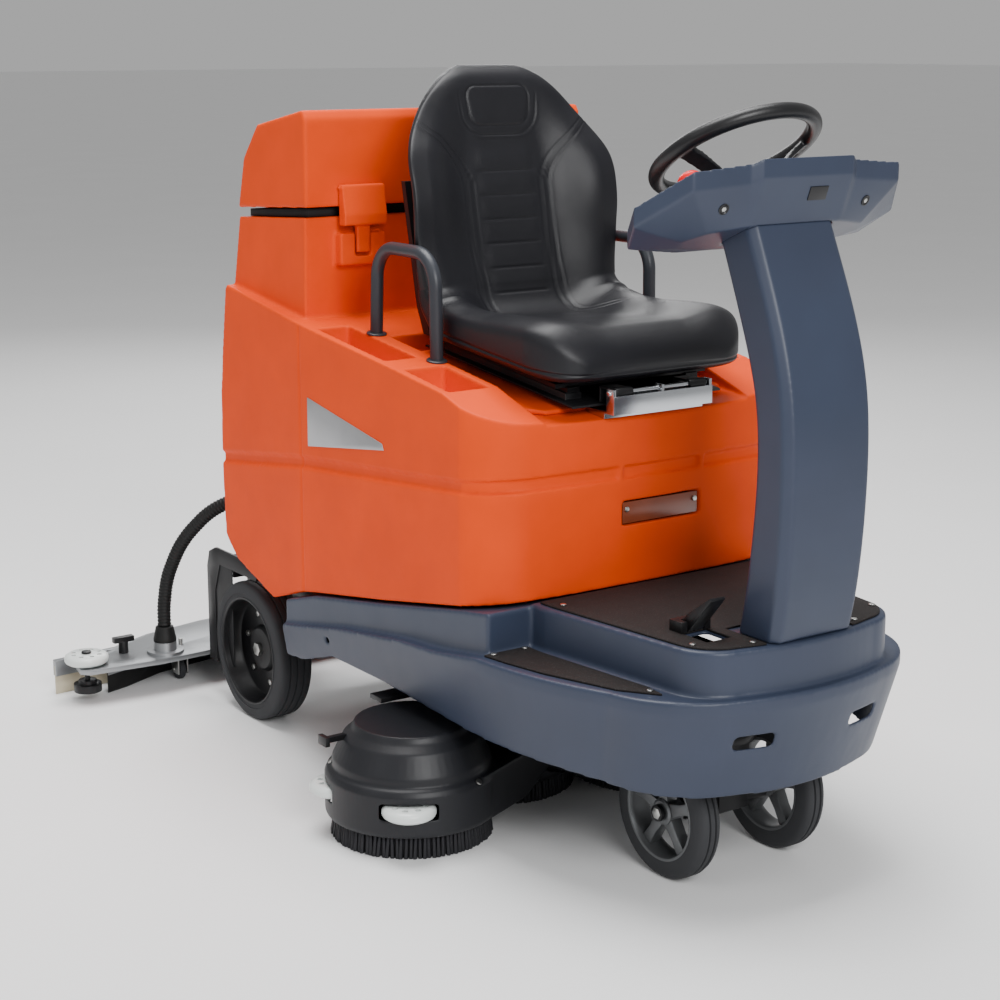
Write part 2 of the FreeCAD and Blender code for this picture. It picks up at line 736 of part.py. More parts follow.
def tank_lid():
    half = val("tower_half") + 3
    shape = side_prism(LID_SIDE, -half, half)
    inner = [(75, 1100), (75, 1300), (256, 1274), (314, 1210), (338, 1100)]
    shape = shape.cut(side_prism(inner, -half + 7, half - 7))
    for sign in (1, -1):
        x = 216 * sign
        ear = solid_block((x - 18, x + 18), (330, 370), (1116, 1140))
        knuckle = Part.makeCylinder(9, 36, Vector(x - 18, HINGE_Y, HINGE_Z), Vector(1, 0, 0))
        arm = solid_block((x - 18, x + 18), (353, 370), (HINGE_Z, 1130))
        bore = Part.makeCylinder(5.05, 60, Vector(x - 30, HINGE_Y, HINGE_Z), Vector(1, 0, 0))
        shape = shape.fuse([ear, knuckle, arm]).cut(bore)
    return shape.removeSplitter()


feature("tank_lid", tank_lid())
screws += [rod(5, 84, x, HINGE_Y, HINGE_Z, "X") for x in (-258, 174)]


def lid_gasket():
    """A black seal that closes the gap between the tower and the lid."""
    outer = side_prism([(92, 1107.6), (92, 1126.0), (330, 1109.2), (330, 1093.8)], -315, 315)
    return outer.cut(solid_block((-298, 298), (107, 320), (1000, 1200)))


feature("lid_gasket", lid_gasket())
LATCH_SIDE = [(63.5, 1171), (50, 1170), (40, 1112), (40, 1092), (50, 1092), (52, 1037), (60, 1037),
              (62, 1092), (64.5, 1100)]


def lid_latch():
    flap = side_prism(LATCH_SIDE, -260, -162)
    sides = [solid_block((-270, -226), (30, 80), (1030, 1091)),
             solid_block((-196, -150), (30, 80), (1030, 1091))]
    trunnion = Part.makeCylinder(3, 108, Vector(-265, 58, 1165), Vector(1, 0, 0))
    return flap.cut(sides[0]).cut(sides[1]).fuse(trunnion)


feature("lid_latch", lid_latch())
BADGE = [(28, 763), (-250, 716), (-256, 704), (28, 665)]
badges = both_sides(side_prism(BADGE, -361.6, -360.2))
feature("side_badges", Part.makeCompound(badges))
shift = cell("window_offset")
WINDOW = [(shift - 88, 591), (shift + 88, 591), (shift + 88, 631), (shift - 88, 631)]
padded("sight_window", "XZ_Plane", WINDOW, 597.2, 3.8)
screws += [rod(5, 3, shift + x, -604.2, 618, "Y") for x in (-80, 80)]
finish(group(*screws), "steel_fittings")

# ---------------------------------------------------------------- pieces inside the tanks
cases = [
    block((x, x + 245), (y, y + 175), (482, 742))
    for x in (-250, 5)
    for y in (-500, -315)
]
finish(group(*cases), "batteries")
basket = cut(block((-110, 110), (150, 290), (960, 1070)), block((-106, 106), (154, 286), (964, 1080)))
finish(basket, "debris_basket")

# ---------------------------------------------------------------- armrest hoops
def armrest():
    x = -val("armrest_x")
    feet = ((-275, 866.5), (-62, 892.5))
    points = [Vector(x, feet[0][0], feet[0][1]), Vector(x, -272, 1062),
              Vector(x, -70, 1062), Vector(x, feet[1][0], feet[1][1])]
    return bent_tube(points, [62, 62], val("armrest_tube"))[0]


hoop = armrest()
feature("armrests", Part.makeCompound(both_sides(hoop)))

# ---------------------------------------------------------------- seat hinge, panel and rails
PIN_Y, PIN_Z = val("hinge_y"), val("hinge_z")


def seat_hinge():
    """A folded steel bar on the tank's front edge, carrying the pin that the seat tips about."""
    side = [(-632, 801), (-632, 834), (-628, 834), (-628, 805), (-556, 805), (-556, 796.2),
            (-605, 790.8), (-605, 801)]
    shape = side_prism(side, -114, 114)
    for x in (-114, -4, 108):
        shape = shape.fuse(solid_block((x, x + 6), (-630, PIN_Y + 8), (803, PIN_Z + 8)))
    return shape.fuse(Part.makeCylinder(5, 236, Vector(-118, PIN_Y, PIN_Z), Vector(1, 0, 0)))


feature("seat_hinge", seat_hinge())
PANEL_LIFT = (0.8, 10.0)
PLATE_LIFT = (20.0, 24.0)
RAIL_LIFT = (24.0, 36.0)


def sloped_slab(lifts, front, rear, low, high):
    """A slab parallel to the recess floor."""
    side = [(front, slope(front, lifts[0])), (front, slope(front, lifts[1])),
            (rear, slope(rear, lifts[1])), (rear, slope(rear, lifts[0]))]
    return side_prism(side, low, high)


def seat_panel():
    """The battery cover: its front corners are cut off."""
    slab = sloped_slab(PANEL_LIFT, -547, -100, -229, 229)
    plan = [(-229, -100), (-229, -520), (-200, -547), (200, -547), (229, -520), (229, -100)]
    return slab.common(plan_prism(plan, 700, 1000))


feature("seat_panel", seat_panel())


def seat_plate():
    """The steel plate under the seat, with hinge knuckles in front and two rails on top."""
    shape = sloped_slab(PLATE_LIFT, -588, -110, -172, 172)
    for x in (-104, 66):
        knuckle = Part.makeCylinder(9.5, 38, Vector(x, PIN_Y, PIN_Z), Vector(1, 0, 0))
        strap = solid_block((x, x + 38), (PIN_Y, -575), (PIN_Z + 4, PIN_Z + 8))
        drop = solid_block((x, x + 38), (-579, -575), (815, PIN_Z + 8))
        shape = shape.fuse([knuckle, strap, drop])
        shape = shape.cut(Part.makeCylinder(5.05, 60, Vector(x - 10, PIN_Y, PIN_Z),
                                            Vector(1, 0, 0)))
    for foot in both_sides(sloped_slab((10.3, 21.0), -500, -150, -150, -120)):
        shape = shape.fuse(foot)
    for rail in both_sides(sloped_slab(RAIL_LIFT, -545, -150, -156, -120)):
        shape = shape.fuse(rail)
    return shape.removeSplitter()


feature("seat_plate", seat_plate())


def seat_pan():
    """The seat's own frame, with runners that slide along the rails."""
    side = [(-540, slope(-540, 45)), (-540, slope(-540, 53)), (-128, slope(-128, 53)),
            (-98, 952), (-45, 1180), (-32, 1180), (-84, 942), (-108, slope(-108, 45))]
    shape = side_prism(side, -175, 175)
    for runner in both_sides(sloped_slab((36.3, 46.0), -545, -150, -152, -124)):
        shape = shape.fuse(runner)
    return shape.removeSplitter()


pan = seat_pan()
feature("seat_pan", pan)
CUSHION = [(-610, 858), (-622, 880), (-600, 938), (-540, 958), (-420, 950), (-300, 938),
           (-238, 960), (-200, 948), (-165, slope(-165, 62)), (-578, slope(-578, 62))]
BACK = [(-196, 962), (-162, 1060), (-140, 1180), (-118, 1260), (-100, 1385), (-70, 1400),
        (-34, 1385), (-24, 1180), (-60, 1000), (-92, 930), (-150, 930)]
CUSHION_SIDE = [(-610, 858), (-622, 880), (-606, 932), (-570, 958), (-480, 968), (-300, 970),
                (-225, 966), (-200, 948), (-165, slope(-165, 62)), (-578, slope(-578, 62))]
BACK_SIDE = [(-200, 962), (-192, 1010), (-187, 1120), (-182, 1215), (-126, 1295), (-100, 1385),
             (-70, 1400), (-34, 1385), (-24, 1180), (-60, 1000), (-92, 930), (-150, 930)]
# plan of the cushion's rounded front corners and of the shell's rear face, right half
CUSHION_PLAN = [(-238, -150), (-238, -530), (-222, -580), (-170, -617), (-100, -630)]
SHELL_PLAN = [(-250, -300), (-250, -176), (-232, -150), (-190, -98), (-120, -50), (-40, -20)]
bolster = val("bolster_from")
half = val("seat_half")


def both_halves(points):
    return points + [(-x, y) for x, y in reversed(points)]


cushion = side_prism(CUSHION, -half, half)
cushion = cushion.fuse(both_sides(side_prism(CUSHION_SIDE, -half, -bolster)))
cushion = cushion.common(plan_prism(both_halves(CUSHION_PLAN), 800, 1000)).removeSplitter()
back_plan = [(-225, 900), (-half, 1060), (-half, 1210), (-195, 1330), (-130, 1392), (-60, 1401)]
back_plan += [(-x, z) for x, z in reversed(back_plan)]
back_face = polygon_face([Vector(x, -300, z) for x, z in back_plan])
backrest = side_prism(BACK, -half, half)
backrest = backrest.fuse(both_sides(side_prism(BACK_SIDE, -half, -bolster)))
backrest = backrest.common(back_face.extrude(Vector(0, 400, 0)))
backrest = backrest.common(plan_prism(both_halves(SHELL_PLAN), 800, 1500)).removeSplitter()
feature("seat_cushion", cushion.cut([backrest, pan]))
feature("seat_backrest", backrest.cut(pan))
lever = bent_tube([Vector(179, -425, 848), Vector(240, -432, 853), Vector(318, -450, 851)],
                  [30], 5)[0]
lever = lever.fuse(Part.makeCylinder(7, 14, Vector(186, -433, 848.6), Vector(0, 1, 0)))
feature("seat_lever", lever)

# ---------------------------------------------------------------- accelerator pedal
PEDAL_Y, PEDAL_Z = -900.0, 486.0
pedal_side = [(-962, 545), (-958, 549), (-905, 512), (-892, 498), (-892, 480), (-906, 480)]


def pedal():
    shape = side_prism([(y, z) for y, z in pedal_side], -166, -134)
    bore = Part.makeCylinder(4.05, 60, Vector(-180, PEDAL_Y, PEDAL_Z + 4), Vector(1, 0, 0))
    return shape.cut(bore)


feature("pedal", pedal())
pedal_base = fuse(
    block((-182, -118), (-888.5, -876), (479, 498)),
    block((-182, -169), (-908, -880), (479, 498)),
    block((-131, -118), (-908, -880), (479, 498)),
    rod(4, 60, -180, PEDAL_Y, PEDAL_Z + 4, "X"),
)
finish(pedal_base, "pedal_bracket")

# ---------------------------------------------------------------- brush deck
BRUSHES = {
    "right": (cell("deck_x"), cell("brush_y")),
    "middle": (cell("deck_x") + cell("brush_step"), cell("brush_y") + cell("brush_stagger")),
    "left": (cell("deck_x") + cell("brush_step") * 2, cell("brush_y")),
}
brush_r = cell("brush_radius")
motors = []
for name, (x, y) in BRUSHES.items():
    turned(f"brush_{name}", [(8.05, 66), (8.05, 40), (60, 40), (60, 0), (brush_r, 0),
                             (brush_r - 5, cell("bristle_top")), (brush_r - 5, 66)], x=x, y=y, z=0)
    motors.append(fuse(rod(62, 120, x, y, 84), rod(8, 44, x, y, 42)))
finish(group(*motors), "brush_motors")

# radius and height along the cover's dome
DOME = [(160, 42), (163, 50), (163, 120), (158, 130), (150, 135), (148, 150), (128, 190),
        (112, 204), (106, 216)]


def dome(x, y, grow):
    """One brush cover as a solid; grow is negative for its inner face."""
    points = [Vector(0, 0, 30 if grow < 0 else 42)]
    points += [Vector(r + grow, 0, z + grow * 0.6) for r, z in DOME]
    points[1].z = 30 if grow < 0 else 42
    points.append(Vector(0, 0, DOME[-1][1] + grow * 0.6))
    solid = polygon_face(points).revolve(Vector(0, 0, 0), Vector(0, 0, 1), 360)
    solid.translate(Vector(x, y, 0))
    return solid


def bridge(start, end, grow):
    """The straight wall and roof between two brush covers."""
    run = Vector(end[0] - start[0], end[1] - start[1], 0)
    low = 30 if grow < 0 else 42
    rise = [(0, low), (155, low), (run.Length, 104 + (low - 42)), (run.Length, 132 + grow),
            (0, 132 + grow)]
    width = 160 + grow
    solid = polygon_face([Vector(s, -width, z) for s, z in rise]).extrude(Vector(0, 2 * width, 0))
    solid.rotate(Vector(0, 0, 0), Vector(0, 0, 1), math.degrees(math.atan2(run.y, run.x)))
    solid.translate(Vector(start[0], start[1], 0))
    return solid


def deck_cover():
    spots = [(x.value, y.value) for x, y in BRUSHES.values()]
    shell = dome(*spots[0], 0)
    core = dome(*spots[0], -5)
    for i in (1, 2):
        # the second bridge runs from the left-hand cover, so that its low end is outboard
        start, end = (spots[0], spots[1]) if i == 1 else (spots[2], spots[1])
        shell = shell.fuse(dome(*spots[i], 0)).fuse(bridge(start, end, 0))
        core = core.fuse(dome(*spots[i], -5)).fuse(bridge(start, end, -5))
    shape = shell.cut(core)
    for name, (x, y) in DECK_ROLLERS.items():
        shape = shape.cut(Part.makeCylinder(val("deck_roller_radius") + 4, 30, Vector(x, y, 77)))
    return shape.removeSplitter()


# the bumper rollers stand half out of the right-hand cover
deck_x, brush_y = val("deck_x"), val("brush_y")
DECK_ROLLERS = {}
for name, angle, reach in (("front", 235.6, 146.0), ("rear", 153.6, 142.0)):
    a = math.radians(angle)
    DECK_ROLLERS[name] = (deck_x + reach * math.cos(a), brush_y + reach * math.sin(a))
cover = deck_cover()
feature("deck_cover", cover)
roller_posts = []
for name, (x, y) in DECK_ROLLERS.items():
    bore = 5.05
    turned(f"deck_roller_{name}", [(bore, 81), (42, 81), (50, 87), (50, 97), (42, 103), (bore, 103)],
           x=x, y=y, z=0)
    roller_posts.append(Part.makeCylinder(5, 46, Vector(x, y, 79)))
deck_lever = solid_block((-536, -495), (-330, -318), (187, 197))
deck_lever = deck_lever.fuse(solid_block((-544, -535), (-338, -310), (183, 201))).cut(cover)
deck_beam = solid_block((-380, 186), (-266, -226), (216.3, 226))
feature("deck_frame", Part.makeCompound([deck_beam, deck_lever] + roller_posts))

# ---------------------------------------------------------------- squeegee
MID = val("squeegee_mid_x")
REAR_EDGE = [(-478, 682), (-345, 752), (-240, 804), (-84, 835), (0, 842)]


def fan(points, low, high):
    """A plan outline given for the right half about the squeegee's middle."""
    left = [(-x, y) for x, y in reversed(points)]
    return plan_prism([(x + MID, y) for x, y in points + left], low, high)


plate_low = val("plate_bottom")
plate_high = plate_low + val("plate_thick")


END_X, END_Y = 455.0, 676.0
CASTOR_X, CASTOR_Y = 218.0, 700.0
# the blades' plan, right half
BLADE = [(-500, 752), (-345, 764), (-240, 814), (-84, 846)]


FRONT_BLADE = [(-400, 690), (-345, 708), (-240, 758), (-84, 790)]


def strip(half_line, offset, thick, low, high):
    """A band that follows a blade's line from end to end."""
    line = [(x, y + offset) for x, y in half_line]
    line += [(-x, y) for x, y in reversed(line)]
    back = [(x, y + thick) for x, y in reversed(line)]
    return plan_prism([(x + MID, y) for x, y in line + back], low, high)


def squeegee_plate():
    points = [(-170, 612), (-300, 606), (-470, 622), (-486, 640)] + REAR_EDGE[:-1]
    holders = [strip(BLADE, -6, 16, 44, 80), strip(FRONT_BLADE, -4, 12, 44, 76)]
    shape = fan(points, plate_low, plate_high).fuse(holders)
    for sign in (1, -1):
        shape = shape.cut(Part.makeCylinder(6, 60, Vector(MID + sign * END_X, END_Y, 60)))
        stem = Vector(MID + sign * CASTOR_X, CASTOR_Y - 12, 60)
        shape = shape.cut(Part.makeCylinder(5.05, 60, stem))
    return shape


def squeegee_blades():
    """Rear and front rubber strips, clamped under the plate."""
    return [strip(BLADE, 0, 4, 0.5, 66), strip(FRONT_BLADE, 0, 4, 1.5, 66)]


plate = squeegee_plate()
SPIGOT = (-392.0, 655.0)
SPIGOT_TOP = 112.0
front_strip = squeegee_blades()
plate = plate.cut(front_strip[0]).cut(front_strip[1])
throat = Part.makeCylinder(14, 60, Vector(*SPIGOT, 60))
flange = Part.makeCylinder(42, 7, Vector(*SPIGOT, plate_high))
collar = Part.makeCylinder(26, SPIGOT_TOP - plate_high, Vector(*SPIGOT, plate_high))
plate = plate.fuse([flange, collar]).cut(throat)
feature("squeegee_plate", plate.removeSplitter())
feature("squeegee_blades", Part.makeCompound(front_strip))

arm = fuse(
    block((MID - 90, MID + 90), (500, 520), (206, 252)),
    block((MID - 82, MID - 62), (470, 520), (222, 250)),
    block((MID + 62, MID + 82), (470, 520), (222, 250)),
    block((MID - 45, MID + 45), (512, 680), (200, 222)),
    block((MID - 45, MID + 45), (655, 680), (plate_high, 210)),
    block((MID - 100, MID + 100), (640, 760), (plate_high, plate_high + 12)),
)
arm_bore = rod(8.05, 200, MID - 100, ARM_PIVOT_Y, ARM_PIVOT_Z, "X")

roller = cell("end_roller_radius")
for side, sign in (("right", -1), ("left", 1)):
    turned(f"squeegee_roller_{side}", [(6.05, plate_high + 2), (roller - 9, plate_high + 2),
                                       (roller, plate_high + 9), (roller, plate_high + 17),
                                       (roller - 9, plate_high + 24), (6.05, plate_high + 24)],
           x=MID + sign * END_X, y=END_Y, z=0)
end_pins = []
for sign in (1, -1):
    x = MID + sign * END_X
    end_pins.append(fuse(rod(6, 100, x, END_Y, 14), rod(11, 4, x, END_Y, plate_high + 25),
                         rod(31, 18, x, END_Y, 22), rod(20, 8, x, END_Y, 40)))
finish(group(cut(arm, arm_bore), *end_pins), "squeegee_frame")
for side, sign in (("right", -1), ("left", 1)):
    x, radius = MID + sign * CASTOR_X, cell("castor_radius")
    fork = fuse(
        rod(14, 12, x, CASTOR_Y - 12, 61.5), rod(5, 30, x, CASTOR_Y - 12, 70),
        block((x - 13, x - 10), (CASTOR_Y - 22, CASTOR_Y + 12), (16, 64)),
        block((x + 10, x + 13), (CASTOR_Y - 22, CASTOR_Y + 12), (16, 64)),
        block((x - 13, x + 13), (CASTOR_Y - 24, CASTOR_Y), (58, 62)),
        rod(3, 30, x - 15, CASTOR_Y, radius, "X"),
    )
    finish(fork, f"castor_fork_{side}")
    turned(f"castor_wheel_{side}", [(3.05, -8), (radius - 2, -8), (radius, -5), (radius, 5),
                                    (radius - 2, 8), (3.05, 8)],
           x=x, y=CASTOR_Y, z=radius, turn=TO_X[1])
knobs = []
for sign in (1, -1):
    x = MID + sign * 352
    knobs.append(fuse(rod(11, 28, x, 706, plate_high + 0.3),
                      block((x - 24, x + 24), (698, 714), (plate_high + 26, plate_high + 38))))
finish(knobs[1], "squeegee_knob_right")
finish(knobs[0], "squeegee_knob_left")

# ---------------------------------------------------------------- suction hose
HOSE = [(-232, 440, 470), (-258, 500, 462), (-314, 556, 428), (-362, 612, 352), (-386, 646, 262),
        (-392, 655, 190), (-392, 655, 148)]


def hose_tube():
    points = [Vector(*p) for p in HOSE]
    radii = []
    for i in range(1, len(points) - 1):
        before, after = points[i - 1] - points[i], points[i + 1] - points[i]
        turn = math.pi - before.getAngle(after)
        radii.append(0.45 * min(before.Length, after.Length) / math.tan(turn / 2))
    print("hose bend radii", [round(r) for r in radii])
    tube, path = bent_tube(points, radii, val("hose_radius"))
    section = math.pi * val("hose_radius") ** 2
    print("hose length", round(path.Length, 1), "volume share", tube.Volume / section / path.Length)
    return tube


feature("suction_hose", hose_tube())
turned("hose_cuff_lower", [(0, 147.6), (20, 147.6), (26, 120), (26, SPIGOT_TOP), (0, SPIGOT_TOP)],
       x=SPIGOT[0], y=SPIGOT[1], z=0)
outlet = (Vector(*HOSE[1]) - Vector(*HOSE[0])).normalize()
base = Vector(*HOSE[0])
feature("tank_outlet", Part.makeCylinder(24, 30, base - outlet * 30, outlet).cut(
    solid_block((-400, 0), (300, 430), (400, 550))))

# ---------------------------------------------------------------- check and write
doc.recompute()
for obj in doc.Objects:
    if "Invalid" in obj.State or "Error" in obj.State:
        raise RuntimeError(f"{obj.Name} ({obj.Label}) failed: {obj.State}")
os.makedirs("parts", exist_ok=True)
bounds = FreeCAD.BoundBox()
for label, obj in SUBPARTS.items():
    shape = obj.Shape
    if label != "suction_hose":
        bounds.add(shape.optimalBoundingBox(False))
    if shape.isNull() or not shape.isValid() or not shape.Solids:
        raise RuntimeError(f"{label} has no valid solid")
    print(label, len(shape.Solids), round(shape.Volume / 1000, 1))
    shape.exportStep(os.path.join("parts", f"{label}.step"))
print(len(SUBPARTS), "sub-parts; centre off by", round(bounds.Center.x, 2), round(bounds.Center.y, 2),
      "size", round(bounds.XLength, 1), round(bounds.YLength, 1), round(bounds.ZLength, 1))
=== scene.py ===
"""Looks for the ride-on floor scrubber: materials, moulded edges, seat, tyres, brushes, hose, light
and camera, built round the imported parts. Helper sizes are in millimetres about the machine's own
centre plane and datum; place() turns them into metres in the row frame."""

import json
import math
import random

import bmesh
import bpy
import numpy as np
from mathutils import Matrix, Vector


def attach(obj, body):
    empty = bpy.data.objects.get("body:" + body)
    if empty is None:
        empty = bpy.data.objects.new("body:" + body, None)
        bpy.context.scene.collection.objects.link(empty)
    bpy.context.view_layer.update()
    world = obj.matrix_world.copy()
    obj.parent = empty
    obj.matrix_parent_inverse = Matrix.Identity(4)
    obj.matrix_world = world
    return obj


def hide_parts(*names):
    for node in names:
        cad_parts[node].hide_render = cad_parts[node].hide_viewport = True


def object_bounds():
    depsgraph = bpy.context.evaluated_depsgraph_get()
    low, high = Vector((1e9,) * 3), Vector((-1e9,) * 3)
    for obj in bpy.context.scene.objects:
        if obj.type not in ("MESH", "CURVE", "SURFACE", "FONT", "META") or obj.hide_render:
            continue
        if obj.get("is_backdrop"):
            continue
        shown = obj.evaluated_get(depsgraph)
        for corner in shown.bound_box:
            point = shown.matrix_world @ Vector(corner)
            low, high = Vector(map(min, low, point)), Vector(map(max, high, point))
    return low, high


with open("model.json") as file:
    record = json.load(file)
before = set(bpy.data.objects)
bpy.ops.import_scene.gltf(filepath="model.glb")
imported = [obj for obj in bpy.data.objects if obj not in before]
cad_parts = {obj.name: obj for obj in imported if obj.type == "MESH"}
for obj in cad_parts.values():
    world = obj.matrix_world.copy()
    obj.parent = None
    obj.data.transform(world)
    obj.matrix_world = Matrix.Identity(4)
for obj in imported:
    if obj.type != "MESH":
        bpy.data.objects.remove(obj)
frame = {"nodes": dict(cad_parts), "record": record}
SIZE_AT_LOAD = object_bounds()
NODES = frame["nodes"]
RECORD = frame["record"]
BODY_OF = {n: b for b, ns in RECORD["behaviour"]["bodies"].items() for n in ns}
SLOT_OF = {p["node"]: p["material_slot"] for p in RECORD["subparts"]}
SHIFT = (0.11595, 0.105)


def place(x, y, z):
    return Vector((x / 1000 + SHIFT[0], y / 1000 + SHIFT[1], z / 1000))


# ---------------------------------------------------------------- materials
def node_material(name, colour, rough, metal=0.0, mottle=0.05, mottle_scale=9.0, grain=0.0,
                  grain_scale=900.0, coat=0.0, fleck=None, fleck_share=0.64, wear=0.05, sheen=0.5):
    """A procedural finish: mottled colour, uneven roughness and a fine grain."""
    mat = bpy.data.materials.new(name)
    mat.use_nodes = True
    tree = mat.node_tree
    shader = tree.nodes["Principled BSDF"]
    shader.inputs["Metallic"].default_value = metal
    shader.inputs["Coat Weight"].default_value = coat
    shader.inputs["Coat Roughness"].default_value = 0.25
    shader.inputs["Specular IOR Level"].default_value = sheen
    where = tree.nodes.new("ShaderNodeTexCoord")

    def noise(scale, detail=3.0):
        tex = tree.nodes.new("ShaderNodeTexNoise")
        tex.inputs["Scale"].default_value = scale
        tex.inputs["Detail"].default_value = detail
        tree.links.new(where.outputs["Object"], tex.inputs["Vector"])
        return tex

    def ramp(tex, stops):
        node = tree.nodes.new("ShaderNodeValToRGB")
        for element, (at, rgb) in zip(node.color_ramp.elements, stops):
            element.position = at
            element.color = (*rgb, 1.0)
        tree.links.new(tex.outputs["Fac"], node.inputs["Fac"])
        return node

    dark = [c * (1 - mottle) for c in colour]
    light = [min(1.0, c * (1 + mottle)) for c in colour]
    base = ramp(noise(mottle_scale), [(0.3, dark), (0.7, light)])
    out = base.outputs["Color"]
    if fleck:
        spots = ramp(noise(420.0, 1.0), [(fleck_share, (0, 0, 0)), (fleck_share + 0.03, (1, 1, 1))])
        mix = tree.nodes.new("ShaderNodeMixRGB")
        mix.inputs["Color2"].default_value = (*fleck, 1.0)
        tree.links.new(spots.outputs["Color"], mix.inputs["Fac"])
        tree.links.new(out, mix.inputs["Color1"])
        out = mix.outputs["Color"]
    tree.links.new(out, shader.inputs["Base Color"])
    uneven = tree.nodes.new("ShaderNodeMapRange")
    uneven.inputs["To Min"].default_value = max(0.03, rough - wear)
    uneven.inputs["To Max"].default_value = min(1.0, rough + wear)
    tree.links.new(noise(23.0, 4.0).outputs["Fac"], uneven.inputs["Value"])
    tree.links.new(uneven.outputs["Result"], shader.inputs["Roughness"])
    if grain:
        bump = tree.nodes.new("ShaderNodeBump")
        bump.inputs["Strength"].default_value = grain
        bump.inputs["Distance"].default_value = 0.0006
        tree.links.new(noise(grain_scale, 2.0).outputs["Fac"], bump.inputs["Height"])
        tree.links.new(bump.outputs["Normal"], shader.inputs["Normal"])
    return mat


MATERIALS = {
    "tank_orange": node_material("tank_orange", (0.74, 0.056, 0.0008), 0.55, grain=0.12,
                                 grain_scale=1100, sheen=0.12),
    "chassis_grey": node_material("chassis_grey", (0.026, 0.035, 0.062), 0.42, grain=0.12,
                                  sheen=0.4),
    "deck_plastic": node_material("deck_plastic", (0.011, 0.0115, 0.014), 0.42, grain=0.15,
                                  sheen=0.3),
    "black_steel": node_material("black_steel", (0.008, 0.008, 0.009), 0.38, grain=0.1, sheen=0.3),
    "dark_tube": node_material("dark_tube", (0.025, 0.028, 0.035), 0.4, grain=0.1, sheen=0.4),
    "zinc_steel": node_material("zinc_steel", (0.5, 0.5, 0.48), 0.32, metal=1.0, mottle=0.1),
    "chrome_steel": node_material("chrome_steel", (0.6, 0.62, 0.65), 0.24, metal=1.0, mottle=0.06),
    "squeegee_metal": node_material("squeegee_metal", (0.3, 0.31, 0.32), 0.42, metal=0.9),
    "cast_rim": node_material("cast_rim", (0.14, 0.145, 0.15), 0.45, metal=0.75, grain=0.2),
    "tyre_rubber": node_material("tyre_rubber", (0.03, 0.031, 0.034), 0.7, grain=0.3,
                                 grain_scale=500, sheen=0.3),
    "mat_rubber": node_material("mat_rubber", (0.011, 0.0085, 0.008), 0.75, grain=0.6,
                                grain_scale=380, fleck=(0.035, 0.032, 0.03), sheen=0.25),
    "black_rubber": node_material("black_rubber", (0.006, 0.006, 0.006), 0.55, grain=0.2,
                                  sheen=0.3),
    "blade_rubber": node_material("blade_rubber", (0.52, 0.46, 0.34), 0.6, grain=0.1, sheen=0.3),
    "black_plastic": node_material("black_plastic", (0.007, 0.007, 0.008), 0.38, grain=0.15,
                                   sheen=0.4),
    "roller_white": node_material("roller_white", (0.66, 0.7, 0.68), 0.3, mottle=0.04, coat=0.2),
    "bristles": node_material("bristles", (0.014, 0.014, 0.017), 0.6, mottle=0.3,
                              mottle_scale=300, sheen=0.3),
    "vinyl": node_material("vinyl", (0.005, 0.005, 0.0075), 0.4, grain=0.4, grain_scale=1500,
                           wear=0.06, sheen=0.36),
    "stop_red": node_material("stop_red", (0.75, 0.002, 0.006), 0.35, sheen=0.3),
    "badge_silver": node_material("badge_silver", (0.42, 0.42, 0.43), 0.35, metal=0.7, mottle=0.1),
    "window_orange": node_material("window_orange", (0.2, 0.045, 0.018), 0.25, mottle=0.2,
                                   coat=0.3),
    "battery_case": node_material("battery_case", (0.05, 0.05, 0.055), 0.5, grain=0.2),
}
FLOOR = node_material("floor_white", (0.86, 0.86, 0.86), 0.7, mottle=0.01, mottle_scale=1.5)


# ---------------------------------------------------------------- mesh helpers
def new_object(name, mesh):
    obj = bpy.data.objects.new(name, mesh)
    bpy.context.scene.collection.objects.link(obj)
    return obj


def dress(obj, body, slot, *nodes):
    """Gives a piece its body and its material, and hides the CAD nodes it stands for."""
    obj.data.materials.clear()
    obj.data.materials.append(MATERIALS[slot])
    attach(obj, body)
    if nodes:
        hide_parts(*nodes)
    return obj


def applied(obj):
    """Turns an object's modifiers into plain geometry."""
    bpy.context.view_layer.update()
    shape = obj.evaluated_get(bpy.context.evaluated_depsgraph_get())
    mesh = bpy.data.meshes.new_from_object(shape)
    obj.modifiers.clear()
    obj.data = mesh
    return obj


def shade(obj, degrees=None):
    obj.data.shade_smooth()
    if degrees:
        obj.data.set_sharp_from_angle(angle=math.radians(degrees))
    return obj


def copy_of(node):
    obj = new_object(node + "_look", NODES[node].data.copy())
    mesh = bmesh.new()
    mesh.from_mesh(obj.data)
    bmesh.ops.remove_doubles(mesh, verts=mesh.verts, dist=1e-6)
    mesh.to_mesh(obj.data)
    mesh.free()
    return obj


def moulded(node, grid, rounds, factor=0.5, plugs=(), shape=None):
    """A moulded piece with soft edges: remeshed on a fine grid, then relaxed. A plug is a box in
    millimetres (low corner, high corner) that thickens a thin wall; shape moves its vertices."""
    obj = copy_of(node)
    if shape:
        for v in obj.data.vertices:
            x, y = shape((v.co.x - SHIFT[0]) * 1000, (v.co.y - SHIFT[1]) * 1000)
            v.co.x, v.co.y = x / 1000 + SHIFT[0], y / 1000 + SHIFT[1]
    if plugs:
        mesh = bmesh.new()
        mesh.from_mesh(obj.data)
        for low, high in plugs:
            box = bmesh.ops.create_cube(mesh, size=1.0)["verts"]
            for v in box:
                v.co = place(*(high[i] if v.co[i] > 0 else low[i] for i in range(3)))
        mesh.to_mesh(obj.data)
        mesh.free()
    remesh = obj.modifiers.new("grid", "REMESH")
    remesh.mode = "VOXEL"
    remesh.voxel_size = grid / 1000
    relax = obj.modifiers.new("relax", "SMOOTH")
    relax.factor = factor
    relax.iterations = rounds
    applied(obj)
    return dress(shade(obj), BODY_OF[node], SLOT_OF[node], node)


